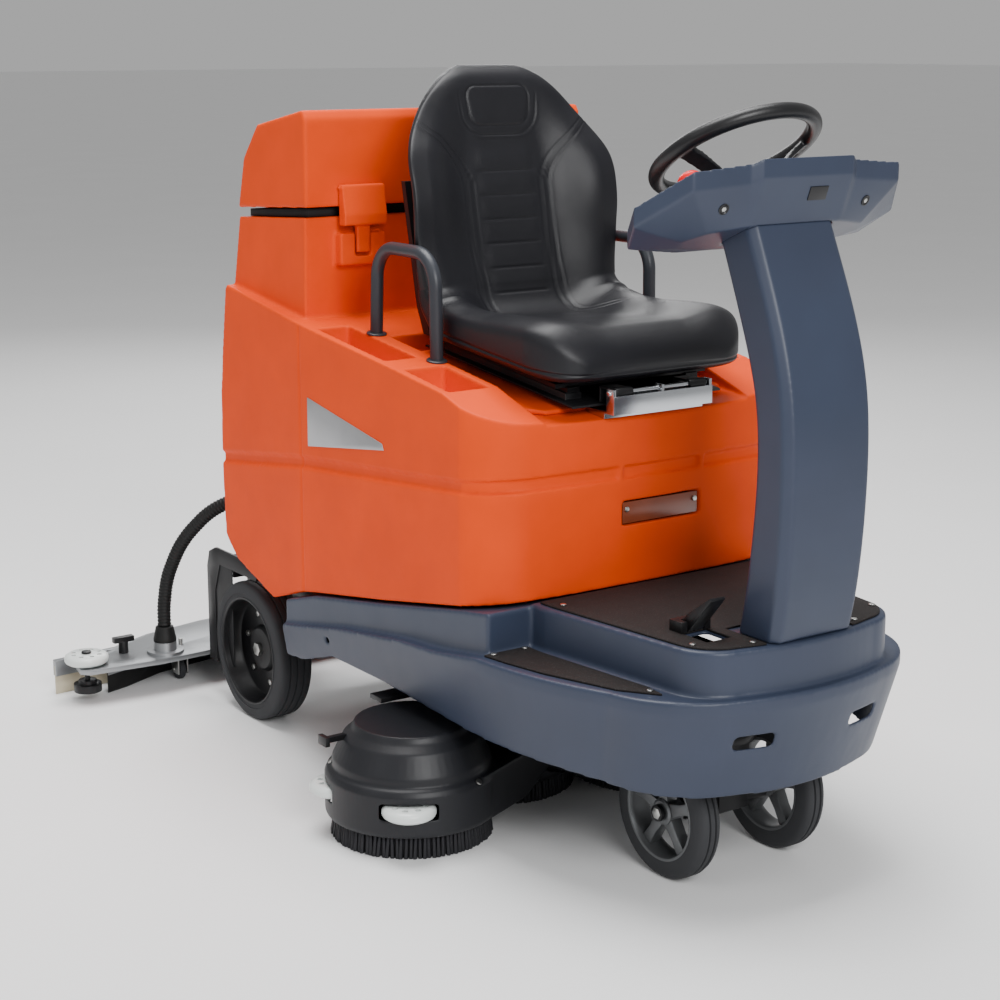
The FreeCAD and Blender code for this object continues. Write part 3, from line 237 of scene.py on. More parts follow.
def machined(node, width=1.0, segments=2, angle=30):
    """A metal or hard piece with small bevels on its sharp edges."""
    obj = copy_of(node)
    mesh = bmesh.new()
    mesh.from_mesh(obj.data)
    bmesh.ops.dissolve_limit(mesh, angle_limit=math.radians(1.0), verts=mesh.verts,
                             edges=mesh.edges)
    mesh.to_mesh(obj.data)
    mesh.free()
    bevel = obj.modifiers.new("edges", "BEVEL")
    bevel.width = width / 1000
    bevel.segments = segments
    bevel.limit_method = "ANGLE"
    bevel.angle_limit = math.radians(angle)
    applied(obj)
    return dress(shade(obj, 40), BODY_OF[node], SLOT_OF[node], node)


def facing(origin, axis):
    """Local Z along an axis, at a point in millimetres."""
    turn = Vector(axis).to_track_quat("Z", "Y").to_matrix().to_4x4()
    return Matrix.Translation(place(*origin)) @ turn


def lathe(name, profile, at, steps=96, closed=True):
    """Turns (radius, height) points in millimetres about local Z; at is a matrix."""
    verts, faces = [], []
    count = len(profile)
    for i in range(steps):
        a = 2 * math.pi * i / steps
        for r, h in profile:
            verts.append(at @ Vector((r * math.cos(a) / 1000, r * math.sin(a) / 1000, h / 1000)))
    last = count if closed else count - 1
    for i in range(steps):
        j = (i + 1) % steps
        for k in range(last):
            m = (k + 1) % count
            faces.append((i * count + k, j * count + k, j * count + m, i * count + m))
    mesh = bpy.data.meshes.new(name)
    mesh.from_pydata(verts, [], faces)
    tidy = bmesh.new()
    tidy.from_mesh(mesh)
    bmesh.ops.remove_doubles(tidy, verts=tidy.verts, dist=1e-6)
    bmesh.ops.dissolve_degenerate(tidy, dist=1e-7, edges=tidy.edges)
    bmesh.ops.recalc_face_normals(tidy, faces=tidy.faces)
    tidy.to_mesh(mesh)
    tidy.free()
    return shade(new_object(name, mesh), 35)


def joined(name, objs):
    """One mesh from several."""
    whole = bmesh.new()
    for obj in objs:
        obj.data.transform(obj.matrix_world)
        whole.from_mesh(obj.data)
        bpy.data.objects.remove(obj)
    mesh = bpy.data.meshes.new(name)
    whole.to_mesh(mesh)
    whole.free()
    return new_object(name, mesh)


def slab(name, corners, at, depth, width=1.0):
    """A bevelled plate: (x, y) corners in millimetres, from local z = 0 down by its depth."""
    mesh = bmesh.new()
    top = [mesh.verts.new((x / 1000, y / 1000, 0)) for x, y in corners]
    low = [mesh.verts.new((x / 1000, y / 1000, -depth / 1000)) for x, y in corners]
    mesh.faces.new(top)
    mesh.faces.new(low[::-1])
    for i in range(len(corners)):
        j = (i + 1) % len(corners)
        mesh.faces.new((top[i], low[i], low[j], top[j]))
    bmesh.ops.recalc_face_normals(mesh, faces=mesh.faces)
    if width:
        bmesh.ops.bevel(mesh, geom=mesh.edges[:], offset=width / 1000, segments=2, profile=0.6,
                        affect="EDGES")
    bmesh.ops.transform(mesh, matrix=at, verts=mesh.verts)
    data = bpy.data.meshes.new(name)
    mesh.to_mesh(data)
    mesh.free()
    return shade(new_object(name, data), 35)


def bolt(name, origin, axis, radius, height, sides=6):
    """A hexagon or round head, standing on a point."""
    ring = [(radius * math.cos(2 * math.pi * i / sides), radius * math.sin(2 * math.pi * i / sides))
            for i in range(sides)]
    at = facing(origin, axis) @ Matrix.Translation((0, 0, height / 1000))
    return slab(name, ring, at, height, 0.5)


# ---------------------------------------------------------------- moulded shells
def arc(start, middle, end, count):
    """Points on the circle through three points."""
    (ax, ay), (bx, by), (cx, cy) = start, middle, end
    d = 2 * (ax * (by - cy) + bx * (cy - ay) + cx * (ay - by))
    ux = ((ax * ax + ay * ay) * (by - cy) + (bx * bx + by * by) * (cy - ay)
          + (cx * cx + cy * cy) * (ay - by)) / d
    uy = ((ax * ax + ay * ay) * (cx - bx) + (bx * bx + by * by) * (ax - cx)
          + (cx * cx + cy * cy) * (bx - ax)) / d
    first, last = math.atan2(ay - uy, ax - ux), math.atan2(cy - uy, cx - ux)
    turn = (last - first + math.pi) % (2 * math.pi) - math.pi
    r = math.hypot(ax - ux, ay - uy)
    angles = [first + turn * i / count for i in range(count + 1)]
    return [(ux + r * math.cos(a), uy + r * math.sin(a)) for a in angles]


def straight(start, end, count):
    return [(start[0] + (end[0] - start[0]) * i / count, start[1] + (end[1] - start[1]) * i / count)
            for i in range(count + 1)]


def tank_line(inset):
    """The right half of the tank's plan, set in by a wall's thickness."""
    rear, side, front = (-346 + inset, 440 - inset), (-360 + inset, 60), (-360 + inset, -505)
    turn, nose = (-334 + inset, -556 + inset), (-262 + inset, -592 + inset)
    across = arc(nose, (0, -607 + inset), (262 - inset, -592 + inset), 1200)[:601]
    return np.array(straight(rear, side, 400) + straight(side, front, 600)
                    + arc(front, turn, nose, 200) + across)


INNER, DEEPER = tank_line(8), tank_line(16)


def thicker_wall(x, y):
    """Moves the tank's inner wall further in, behind the groove that runs round it."""
    gaps = np.hypot(INNER[:, 0] + abs(x), INNER[:, 1] - y)
    near = int(gaps.argmin())
    if gaps[near] > 1.0:
        return x, y
    return math.copysign(DEEPER[near][0], x), DEEPER[near][1]


trays = []
for (x0, x1), (y0, y1), level in (((272, 342), (-235, 15), 825), ((256, 342), (-450, -302), 795)):
    trays.append(((x0 - 5, y0 - 5, level - 14), (x1 + 6, y1 + 5, level - 1.5)))
    trays.append(((-x1 - 6, y0 - 5, level - 14), (-x0 + 5, y1 + 5, level - 1.5)))
SIDE_OUT, LINE_Y, LINE_HALF, LINE_DEEP = 352, 60, 3.5, 0.0022    # upright line in each side
tank = moulded("tank_body", 3.0, 5, plugs=trays, shape=thicker_wall)
for v in tank.data.vertices:
    x, y = (v.co.x - SHIFT[0]) * 1000, (v.co.y - SHIFT[1]) * 1000
    if abs(x) > SIDE_OUT:
        v.co.x -= math.copysign(LINE_DEEP * math.exp(-((y - LINE_Y) / LINE_HALF) ** 2), x)
moulded("tank_lid", 3.4, 8)
moulded("lid_latch", 2.0, 4)
moulded("chassis_cover", 3.3, 12)
moulded("steering_column", 3.0, 6)
moulded("console", 2.0, 16)
moulded("seat_panel", 2.5, 4)
moulded("deck_cover", 2.4, 4)
moulded("steering_wheel", 2.0, 5)
for node, width in (("seat_hinge", 1.0), ("seat_plate", 0.8), ("squeegee_plate", 1.5),
                    ("main_frame", 1.2), ("squeegee_frame", 1.2), ("lid_gasket", 1.5),
                    ("platform_mat", 1.2), ("step_mats", 1.0), ("side_badges", 0.5),
                    ("sight_window", 0.8), ("stop_button", 1.5), ("key_switch", 0.8),
                    ("pedal", 1.0), ("pedal_bracket", 1.0), ("castor_fork_right", 0.5),
                    ("castor_fork_left", 0.5), ("squeegee_knob_right", 2.5),
                    ("squeegee_knob_left", 2.5), ("batteries", 4.0), ("drive_axle", 2.0),
                    ("steering_bogie", 2.0), ("seat_lever", 0.6),
                    ("deck_frame", 0.8), ("debris_basket", 1.0), ("steel_fittings", 0.8)):
    machined(node, width)


# ---------------------------------------------------------------- squeegee blades, rear guards
def front_strip_black(blades):
    """The two strips are loose from each other: the one further forward is black."""
    blades.data.materials.append(MATERIALS["black_rubber"])
    mesh = bmesh.new()
    mesh.from_mesh(blades.data)
    mesh.faces.ensure_lookup_table()
    left, strips = set(mesh.faces), []
    while left:
        strip, edge = set(), [left.pop()]
        while edge:
            face = edge.pop()
            strip.add(face)
            near = {f for e in face.edges for f in e.link_faces} & left
            left -= near
            edge.extend(near)
        strips.append(strip)
    for face in min(strips, key=lambda faces: min(v.co.y for f in faces for v in f.verts)):
        face.material_index = 1
    mesh.to_mesh(blades.data)
    mesh.free()


front_strip_black(machined("squeegee_blades", 0.5))
WEB = [(446, 92), (556, 92), (557, 299), (547, 331), (519, 345), (446, 345)]
SIDE_ON = Matrix(((0, 0, 1), (1, 0, 0), (0, 1, 0))).to_4x4()
for side, sign in (("right", -1), ("left", 1)):
    at = Matrix.Translation(place(sign * 323 + 1.2, 0, 0)) @ SIDE_ON
    dress(slab(f"rear_guard_web_{side}", WEB, at, 2.4, 0.4), BODY_OF["main_frame"], "black_steel")


# ---------------------------------------------------------------- wheels
REAR_TYRE = [(118, -0.5), (119, -2), (127, -2), (128, -0.5), (143, -1.5), (148.5, -4), (151.5, -8),
             (152.5, -14), (152.5, -21), (148.5, -22), (148.5, -25), (152.5, -26), (152.5, -37.5),
             (148.5, -38.5), (148.5, -41.5), (152.5, -42.5), (152.5, -54), (148.5, -55),
             (148.5, -58), (152.5, -59), (152.5, -66), (151.5, -72), (148.5, -76), (143, -78.5),
             (118, -79.5)]
REAR_RIM = [(0, -31), (30, -31), (44, -33), (48, -37), (52, -43), (60, -45), (98, -45),
            (106, -42), (110, -36), (112, -6), (113, -1.5), (115, 0), (118, 0), (118, -79),
            (112, -79), (111, -52), (48, -52), (48, -78), (20, -78), (20, -172), (0, -172)]
FRONT_TYRE = [(87, -1), (90, -0.5), (108, -1.5), (115, -4), (119, -8), (121, -13), (121, -15),
              (117.5, -16), (117.5, -18.5), (121, -19.5), (121, -28), (117.5, -29),
              (117.5, -31.5), (121, -32.5), (121, -35), (119, -40), (115, -43.5), (108, -45.5),
              (87, -46.5)]
FRONT_RING = [(87, -0.5), (84.5, 0), (82, -1), (80, -5), (79, -12), (79, -36), (80, -42),
              (82, -46), (87, -46.5)]
FRONT_HUB = [(10.1, -6), (20, -6), (24, -9), (24, -40), (20, -42), (10.1, -42)]


def front_rim(side, sign, at):
    """A cast rim: ring, hub and five tapered spokes."""
    pieces = [lathe("ring", FRONT_RING, at), lathe("hub", FRONT_HUB, at, 48)]
    for i in range(5):
        turn = Matrix.Rotation(math.radians(72 * i + 20), 4, "Z")
        spoke = [(20, -12.5), (50, -9.5), (81, -12), (81, 12), (50, 9.5), (20, 12.5)]
        lift = Matrix.Translation((0, 0, -0.011))
        pieces.append(slab("spoke", spoke, at @ turn @ lift, 24, 3.0))
    return joined(f"front_rim_{side}_look", pieces)


REAR_X, REAR_Y, REAR_Z = 337, 360, 152.5
FRONT_Y, FRONT_Z = -813.6, 121
BRUSH_X, BRUSH_Y = -380, -372       # the right-hand brush
SQUEEGEE_X = -120                   # the squeegee's own centre plane
for side, sign in (("right", -1), ("left", 1)):
    axis = (sign, 0, 0)
    at = facing((REAR_X * sign, REAR_Y, REAR_Z), axis)
    tyre = lathe(f"rear_tyre_{side}_look", REAR_TYRE, at, 128)
    dress(tyre, BODY_OF[f"rear_tyre_{side}"], "tyre_rubber", f"rear_tyre_{side}")
    rim = lathe(f"rear_rim_{side}_look", REAR_RIM, at, 96)
    dress(rim, BODY_OF[f"rear_rim_{side}"], "black_steel", f"rear_rim_{side}")
    bolts = [bolt("hub", ((REAR_X - 31) * sign, REAR_Y, REAR_Z), axis, 15, 9)]
    for i in range(6):
        a = math.radians(60 * i + 12)
        y, z = REAR_Y + 76 * math.cos(a), REAR_Z + 76 * math.sin(a)
        bolts.append(bolt("nut", ((REAR_X - 45) * sign, y, z), axis, 7, 5))
    dress(joined(f"rear_wheel_bolts_{side}", bolts), BODY_OF[f"rear_rim_{side}"], "zinc_steel")
    at = facing((147 * sign, FRONT_Y, FRONT_Z), axis)
    tyre = lathe(f"front_tyre_{side}_look", FRONT_TYRE, at, 112)
    dress(tyre, BODY_OF[f"front_tyre_{side}"], "tyre_rubber", f"front_tyre_{side}")
    dress(front_rim(side, sign, at), BODY_OF[f"front_rim_{side}"], "cast_rim",
          f"front_rim_{side}")
    cap = bolt("front_axle_nut_" + side, (143 * sign, FRONT_Y, FRONT_Z), axis, 11, 9)
    dress(cap, BODY_OF["steering_bogie"], "zinc_steel")
    wheel = [(3.1, -8), (20, -8), (23, -6), (24, -3), (24, 3), (23, 6), (20, 8), (3.1, 8)]
    at = facing((SQUEEGEE_X + 218 * sign, 700, 24), (1, 0, 0))
    dress(lathe(f"castor_{side}_look", wheel, at, 48), BODY_OF[f"castor_wheel_{side}"],
          "tyre_rubber", f"castor_wheel_{side}")


# ---------------------------------------------------------------- white rollers with eight holes
def skate(node, x, y, low, radius, thick, hub):
    """A bumper roller: a rounded disc with a ring of holes."""
    half = thick / 2
    at = facing((x, y, low + half), (0, 0, 1))
    profile = [(hub, -half), (radius - 8, -half), (radius - 2, -half + 4), (radius, -half + 8),
               (radius, half - 8), (radius - 2, half - 4), (radius - 8, half), (hub, half)]
    disc = lathe(node + "_look", profile, at, 96)
    drills = []
    ring = (radius + hub) * 0.55
    for i in range(8):
        a = math.radians(45 * i)
        spot = (x + ring * math.cos(a), y + ring * math.sin(a), low - 5)
        drills.append(bolt("drill", spot, (0, 0, 1), radius * 0.11, thick + 10, 16))
    drill = joined("drills", drills)
    holes = disc.modifiers.new("holes", "BOOLEAN")
    holes.operation = "DIFFERENCE"
    holes.object = drill
    applied(disc)
    bpy.data.objects.remove(drill)
    return dress(shade(disc, 35), BODY_OF[node], "roller_white", node)


for name, angle, reach in (("front", 235.6, 146.0), ("rear", 153.6, 142.0)):
    a = math.radians(angle)
    skate(f"deck_roller_{name}", BRUSH_X + reach * math.cos(a), BRUSH_Y + reach * math.sin(a),
          81, 50, 22, 5.1)
for side, sign in (("right", -1), ("left", 1)):
    skate(f"squeegee_roller_{side}", SQUEEGEE_X + 455 * sign, 676, 87, 49, 22, 6.1)


# ---------------------------------------------------------------- brushes
def brush(node, x, y):
    """A block with rings of leaning bristle tufts."""
    pick = random.Random(node)
    at = facing((x, y, 0), (0, 0, 1))
    block = lathe("block", [(8.1, 42), (60, 42), (60, 46), (144, 46), (150, 50), (150, 65),
                            (8.1, 65)], at, 72)
    mesh = bmesh.new()
    for ring in range(9):
        radius = 72 + ring * 9
        count = int(radius * 0.75)
        for i in range(count):
            a = 2 * math.pi * (i + 0.5 * (ring % 2)) / count
            foot = radius + (radius - 60) * 0.06 + pick.uniform(-2, 2)
            foot = min(foot, 150)
            base = []
            for r, z, w in ((radius, 47, 3.2), (foot, 0.6, 4.4)):
                b = a + pick.uniform(-0.012, 0.012)
                cx, cy = r * math.cos(b), r * math.sin(b)
                base.append([mesh.verts.new(at @ Vector(((cx + w * math.cos(c)) / 1000,
                                                         (cy + w * math.sin(c)) / 1000, z / 1000)))
                             for c in (0.3, 1.56, 2.8, 4.1, 5.3)])
            for k in range(5):
                m = (k + 1) % 5
                mesh.faces.new((base[0][k], base[1][k], base[1][m], base[0][m]))
            mesh.faces.new(base[1])
            mesh.faces.new(base[0][::-1])
    bmesh.ops.recalc_face_normals(mesh, faces=mesh.faces)
    data = bpy.data.meshes.new("tufts")
    mesh.to_mesh(data)
    mesh.free()
    whole = joined(node + "_look", [block, new_object("tufts", data)])
    return dress(shade(whole, 40), BODY_OF[node], "bristles", node)


for name, x, y in (("right", BRUSH_X, BRUSH_Y), ("middle", -97, -247), ("left", 186, -372)):
    brush(f"brush_{name}", x, y)


# ---------------------------------------------------------------- suction hose
HOSE = [(-232, 440, 470), (-258, 500, 462), (-314, 556, 428), (-362, 612, 352), (-386, 646, 262),
        (-392, 655, 190), (-392, 655, 148)]


def hose_route(step=2.0):
    """Straight runs with tangent arcs, as evenly spaced points in millimetres."""
    corners = [Vector(p) for p in HOSE]
    spots = [corners[0]]
    for i in range(1, len(corners) - 1):
        before, after = corners[i - 1] - corners[i], corners[i + 1] - corners[i]
        reach = 0.45 * min(before.length, after.length)
        before.normalize()
        after.normalize()
        turn = math.pi - before.angle(after)
        radius = reach / math.tan(turn / 2)
        first, last = corners[i] + before * reach, corners[i] + after * reach
        centre = corners[i] + (before + after).normalized() * (radius / math.cos(turn / 2))
        parts = 12
        for k in range(parts + 1):
            start, end = (first - centre).normalized(), (last - centre).normalized()
            share = k / parts
            arm = (start * math.sin((1 - share) * turn) + end * math.sin(share * turn))
            spots.append(centre + arm / math.sin(turn) * radius)
    spots.append(corners[-1])
    lengths = [0.0]
    for a, b in zip(spots, spots[1:]):
        lengths.append(lengths[-1] + (b - a).length)
    total = lengths[-1]
    even = []
    k = 0
    for i in range(int(total / step) + 1):
        d = total * i / int(total / step)
        while k < len(lengths) - 2 and lengths[k + 1] < d:
            k += 1
        t = (d - lengths[k]) / max(1e-9, lengths[k + 1] - lengths[k])
        even.append(spots[k].lerp(spots[k + 1], min(1.0, t)))
    return even, total


def ribbed_tube(name, spots, radius, pitch, depth, around=28):
    side = Vector((1, 0, 0))
    verts, faces = [], []
    run = 0.0
    for i, spot in enumerate(spots):
        ahead = (spots[min(i + 1, len(spots) - 1)] - spots[max(i - 1, 0)]).normalized()
        side = (side - ahead * side.dot(ahead)).normalized()
        other = ahead.cross(side)
        if i:
            run += (spot - spots[i - 1]).length
        r = radius - depth * (0.5 - 0.5 * math.cos(2 * math.pi * run / pitch))
        for k in range(around):
            a = 2 * math.pi * k / around
            p = spot + side * (r * math.cos(a)) + other * (r * math.sin(a))
            verts.append(place(*p))
    for i in range(len(spots) - 1):
        for k in range(around):
            m = (k + 1) % around
            faces.append((i * around + k, i * around + m, (i + 1) * around + m,
                          (i + 1) * around + k))
    faces.append(tuple(range(around))[::-1])
    faces.append(tuple((len(spots) - 1) * around + k for k in range(around)))
    mesh = bpy.data.meshes.new(name)
    mesh.from_pydata(verts, [], faces)
    return shade(new_object(name, mesh))


route, hose_length = hose_route()
hose = dress(ribbed_tube("suction_hose_look", route, 16.0, 8.0, 2.2), BODY_OF["suction_hose"],
             "black_rubber", "suction_hose")
CUFF = [(0, 147.6), (17, 147.6), (20, 146), (25, 122), (26, 119), (26, 113), (24, 112), (0, 112)]
cuff = dress(lathe("hose_cuff_look", CUFF, facing((-392, 655, 0), (0, 0, 1)), 64),
             BODY_OF["hose_cuff_lower"], "black_rubber", "hose_cuff_lower")
place(*HOSE[0])
[place(*p) for p in route]


# ---------------------------------------------------------------- seat
def between(table, at, reach=0.0):
    """Interpolation in a table of (position, value), averaged over a reach on either side."""
    xs, ys = zip(*table)
    return float(np.mean(np.interp(at + reach * np.linspace(-1, 1, 11), xs, ys)))


def bell(x, width):
    return math.exp(-(x / width) ** 2)


def skin(name, rings):
    """A closed mesh through rings of points in millimetres, with both ends capped."""
    count = len(rings[0])
    verts = [place(*p) for ring in rings for p in ring]
    faces = []
    for i in range(len(rings) - 1):
        for k in range(count):
            m = (k + 1) % count
            faces.append((i * count + k, i * count + m, (i + 1) * count + m, (i + 1) * count + k))
    for row in (0, len(rings) - 1):
        middle = sum((verts[row * count + k] for k in range(count)), Vector()) / count
        verts.append(middle)
        for k in range(count):
            m = (k + 1) % count
            pair = (row * count + k, row * count + m)
            faces.append((len(verts) - 1, *(pair if row else pair[::-1])))
    mesh = bpy.data.meshes.new(name)
    mesh.from_pydata(verts, [], faces)
    tidy = bmesh.new()
    tidy.from_mesh(mesh)
    bmesh.ops.recalc_face_normals(tidy, faces=tidy.faces)
    tidy.to_mesh(mesh)
    tidy.free()
    return shade(new_object(name, mesh))


def emboss(obj, lift):
    """Moves each vertex along its normal by lift(x, y, z), all in millimetres."""
    mesh = obj.data
    moves = []
    for v in mesh.vertices:
        x, y = (v.co.x - SHIFT[0]) * 1000, (v.co.y - SHIFT[1]) * 1000
        moves.append(v.normal * (lift(x, y, v.co.z * 1000) / 1000))
    for v, move in zip(mesh.vertices, moves):
        v.co += move
    mesh.update()
    return obj


def rounded(share, power):
    """A point on a unit superellipse."""
    c, s = math.cos(share), math.sin(share)
    return (math.copysign(abs(c) ** power, c), math.copysign(abs(s) ** power, s))


AROUND = 440
STEP = 2.0
CUSHION_TOP = [(-622, 934), (-590, 946), (-540, 953), (-420, 943), (-330, 934), (-262, 930)]
CUSHION_WING = [(-621, 4), (-560, 20), (-480, 25), (-380, 27), (-300, 36), (-262, 46)]
CREASE = 75.0
# tables up the back, by height
BACK_FRONT = [(988, -189), (1060, -163), (1180, -141), (1260, -120), (1385, -101), (1401, -94)]
BACK_THICK = [(988, 127), (1060, 114), (1180, 114), (1260, 94), (1385, 66), (1401, 60)]
BACK_HALF = [(988, 228), (1060, 237), (1120, 240), (1205, 240), (1230, 236), (1262, 221),
             (1295, 198), (1330, 171), (1358, 144), (1380, 116), (1392, 96), (1401, 64)]
BACK_WING = [(988, 26), (1060, 34), (1150, 50), (1215, 47), (1260, 34), (1300, 10), (1401, 0)]
BACK_WRAP = [(988, 92), (1060, 116), (1150, 138), (1215, 128), (1295, 72), (1358, 38), (1401, 20)]
# tables round the crease, by the angle turned
BEND_THICK = [(0, 40), (38, 62), (60, 105), (77, 127)]
BEND_WING = [(0, 46), (38, 50), (60, 38), (77, 26)]
BEND_WRAP = [(0, 0), (30, 10), (77, 92)]


def sections():
    """Each row of the seat: front point, facing, thickness, half width, bolster, wrap, rounding."""
    y = -621.0
    while y < -262:
        d = y + 621
        base = 918.6 + 0.1098 * y
        nose = math.sqrt(max(0.0, 1 - (1 - min(1.0, d / 60)) ** 2))
        corner = math.sqrt(max(0.0, 1 - (1 - min(1.0, d / 100)) ** 2))
        top = between(CUSHION_TOP, y, 25)
        centre = 0.45 * top + 0.55 * base
        front, low = centre + (top - centre) * nose, centre - (centre - base) * (0.35 + 0.65 * nose)
        wing = between(CUSHION_WING, y, 12)
        half = (238 - 3 * (y + 420) ** 2 / 40000) * (0.64 + 0.36 * corner)
        yield (y, front, 90.0, front - low, half, wing * nose, 0.0, 0.32)
        y += STEP * (0.3 + 0.7 * min(1.0, d / 60))
    for i in range(int(100 / STEP) + 1):
        turn = 77.0 * i / int(100 / STEP)
        a = math.radians(turn)
        yield (-262 + CREASE * math.sin(a), 930 + CREASE * (1 - math.cos(a)), 90 + turn,
               between(BEND_THICK, turn, 8), 236 - 8 * turn / 77, between(BEND_WING, turn, 8),
               between(BEND_WRAP, turn, 8), 0.32 + 0.2 * turn / 77)
    z = 988.0 + STEP
    while z < 1401:
        tip = min(1.0, (1401 - z) / 46)
        close = math.sqrt(max(0.0, 1 - (1 - tip) ** 2.2))
        soft = min(34.0, 1401 - z)
        thick = between(BACK_THICK, z, min(soft, z - 988))
        front = between(BACK_FRONT, z, min(soft, z - 988)) + thick * 0.5 * (1 - close)
        yield (front, z, 167 + min(9.0, (z - 988) / 30), thick * close,
               between(BACK_HALF, z, min(soft, 14)), between(BACK_WING, z, soft) * close,
               between(BACK_WRAP, z, soft) * close, 0.52)
        z += STEP * (0.25 + 0.75 * tip)


CHANNELS = [970 + 46 * i for i in range(6)]


def relief(x, y, z, turned):
    """Piping, channels and the headrest panel on the seat's front face, in millimetres."""
    lift = 0.0
    if turned > 112:
        edge = 82 + (max(0.0, z - 1175) / 100) ** 1.7 * 78
        inner = 1 / (1 + math.exp((abs(x) - 62) / 2.0))
        for at in CHANNELS:
            lift -= 1.8 * inner * bell(z - at, 2.4)
            lift += 1.3 * inner * bell(z - at - 23, 17)
        fade = 1 / (1 + math.exp((z - 1335) / 8))
    else:
        run = max(0.0, -232 - y)
        edge = 82 + (run / 95) ** 1.6 * 82
        fade = 1 / (1 + math.exp((abs(x) - 158) / 5))
        fade *= 1 / (1 + math.exp(min(60.0, (run - 125) / 6)))
    for offset in (0, 19):
        gap = abs(x) - edge - offset
        lift += fade * (1.2 * bell(gap - 3, 2.6) - 2.2 * bell(gap, 2.0))
    if turned > 150 and z > 1230:
        wide, tall = abs(x) - 52 + (1365 - z) * 0.12, abs(z - 1324) - 14
        ring = math.hypot(max(wide, 0), max(tall, 0)) - 24
        lift += 1.5 / (1 + math.exp(ring / 2)) - 2.4 * bell(ring, 2.0)
        low = 1 / (1 + math.exp((z - 1330) / 8))
        lift += low * (1.2 * bell(ring - 21, 2.6) - 2.2 * bell(ring - 18, 2.0))
    return lift


def seat_shell():
    rings = []
    for y, z, facing_angle, thick, half, wing, wrap, power in sections():
        out = (math.cos(math.radians(facing_angle)), math.sin(math.radians(facing_angle)))
        ring = []
        for k in range(AROUND):
            share = 2 * math.pi * k / AROUND
            front = math.sin(share) >= 0
            cx, cn = rounded(share, 0.5 if front else power)
            rise = min(1.0, max(0.0, (abs(cx) - 0.36) / 0.5))
            high = wing * rise * rise * (3 - 2 * rise)
            low = wrap * abs(cx) ** 2.4 - thick
            n = (high + low) / 2 + (high - low) / 2 * cn
            x = half * cx
            if cn > 0:
                n += relief(x, y + out[0] * n, z + out[1] * n, facing_angle) * min(1.0, cn * 2)
            ring.append((x, y + out[0] * n, z + out[1] * n))
        rings.append(ring)
    return skin("seat_shell_look", rings)


def seam(x, y, z):
    """A seam low round the cushion's edge."""
    base = 918.6 + 0.1098 * y
    return -2.6 * bell(z - base - 24, 2.6) if y < -215 else 0.0


shell = dress(emboss(seat_shell(), seam), BODY_OF["seat_cushion"], "vinyl", "seat_cushion",
              "seat_backrest")

# ---------------------------------------------------------------- small fittings
for sign in (-1, 1):
    for y, z in ((-275, 864.2), (-62, 890.2)):
        foot = lathe(f"armrest_foot_{sign}_{int(-y)}",
                     [(0, 0), (20, 0), (20, 2.5), (18, 4), (0, 4)], facing((254 * sign, y, z),
                                                                       (0, -0.12, 1)), 40)
        dress(foot, BODY_OF["armrests"], "dark_tube")


def deck_screws():
    heads = []
    for angle, reach, z in ((151, 150, 138), (287, 160.5, 129), (35, 150, 138), (80, 150, 138)):
        a = math.radians(angle)
        spot = (BRUSH_X + reach * math.cos(a), BRUSH_Y + reach * math.sin(a), z)
        heads.append(bolt("head", spot, (0.8 * math.cos(a), 0.8 * math.sin(a), 1), 6.5, 3, 12))
    return joined("deck_cover_screws", heads)


dress(deck_screws(), BODY_OF["deck_cover"], "zinc_steel")
WELL = [(0, 0), (9.5, 0), (9.5, 1.4), (8, 1.8), (6.5, 0.6), (0, 0.6)]
for side, sign in (("right", -1), ("left", 1)):
    spot, out = (156 * sign, -958, 1188), (0.114 * sign, -0.915, -0.382)
    well = lathe(f"console_well_{side}", WELL, facing(spot, out), 32)
    dress(well, BODY_OF["console"], "black_plastic")
    head = bolt(f"console_screw_{side}", (spot[0], spot[1] + out[1] * 0.4, spot[2] + out[2] * 0.4),
                out, 4.5, 1.2, 6)
    dress(head, BODY_OF["console"], "zinc_steel")
socket = slab("console_socket", [(-20, -12), (20, -12), (20, 12), (-20, 12)],
              facing((30, -977.4, 1206), (0, -0.934, -0.357)), 3, 1.0)
dress(socket, BODY_OF["console"], "black_plastic")

# ---------------------------------------------------------------- what is left of the CAD look
for name, obj in NODES.items():
    obj.data.materials.clear()
    obj.data.materials.append(MATERIALS[SLOT_OF[name]])

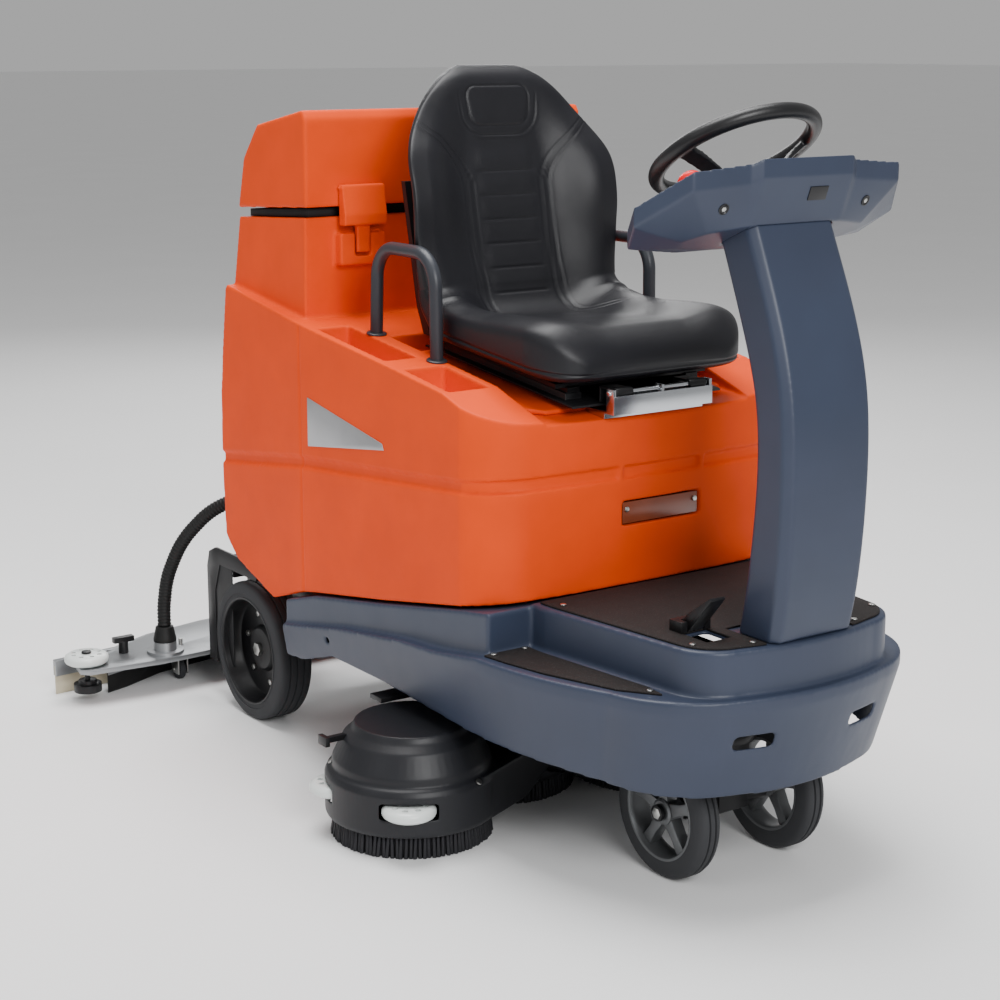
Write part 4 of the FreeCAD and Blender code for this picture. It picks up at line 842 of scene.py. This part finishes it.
# ---------------------------------------------------------------- floor, light and camera
floor_mesh = bpy.data.meshes.new("floor")
FAR = 80
floor_mesh.from_pydata([(-FAR, -FAR, 0), (FAR, -FAR, 0), (FAR, FAR, 0), (-FAR, FAR, 0)], [],
                       [(0, 1, 2, 3)])
floor = new_object("floor", floor_mesh)
floor.data.materials.append(FLOOR)
floor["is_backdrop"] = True


def area_light(name, at, target, size, watts, colour=(1, 1, 1)):
    lamp = bpy.data.lights.new(name, "AREA")
    lamp.shape = "RECTANGLE"
    lamp.size, lamp.size_y = size
    lamp.energy = watts
    lamp.color = colour
    obj = bpy.data.objects.new(name, lamp)
    bpy.context.scene.collection.objects.link(obj)
    obj.location = at
    aim = Vector(target) - Vector(at)
    obj.rotation_euler = aim.to_track_quat("-Z", "Y").to_euler()
    return obj


area_light("front", (-1.2, -5.4, 3.4), (0, -0.2, 0.7), (2.6, 2.2), 270)
area_light("side", (-5.0, -0.6, 3.6), (0, 0, 0.7), (2.6, 2.6), 30)
area_light("top", (0, 0.3, 4.6), (0, 0, 0), (3.0, 3.0), 300)
area_light("rear", (2.5, 4.5, 3.0), (0, 0.3, 0.8), (3.0, 2.0), 80)
world = bpy.data.worlds.new("studio")
bpy.context.scene.world = world
world.use_nodes = True
world.node_tree.nodes["Background"].inputs["Color"].default_value = (1.0, 1.0, 1.0, 1.0)
world.node_tree.nodes["Background"].inputs["Strength"].default_value = 0.45

TURN, DIP = math.radians(34.9645), math.radians(13.0404)
camera = bpy.data.objects.new("camera", bpy.data.cameras.new("camera"))
bpy.context.scene.collection.objects.link(camera)
camera.data.sensor_width = 36
camera.data.lens = 72.03
camera.location = place(-2272.5, -3367.4, 1454.0)
ahead = Vector((math.sin(TURN) * math.cos(DIP), math.cos(TURN) * math.cos(DIP), -math.sin(DIP)))
camera.rotation_euler = ahead.to_track_quat("-Z", "Y").to_euler()
bpy.context.scene.camera = camera

sizes = {"at_load": SIZE_AT_LOAD, "at_finish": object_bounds()}
{k: [list(map(float, c)) for c in v] for k, v in sizes.items()}
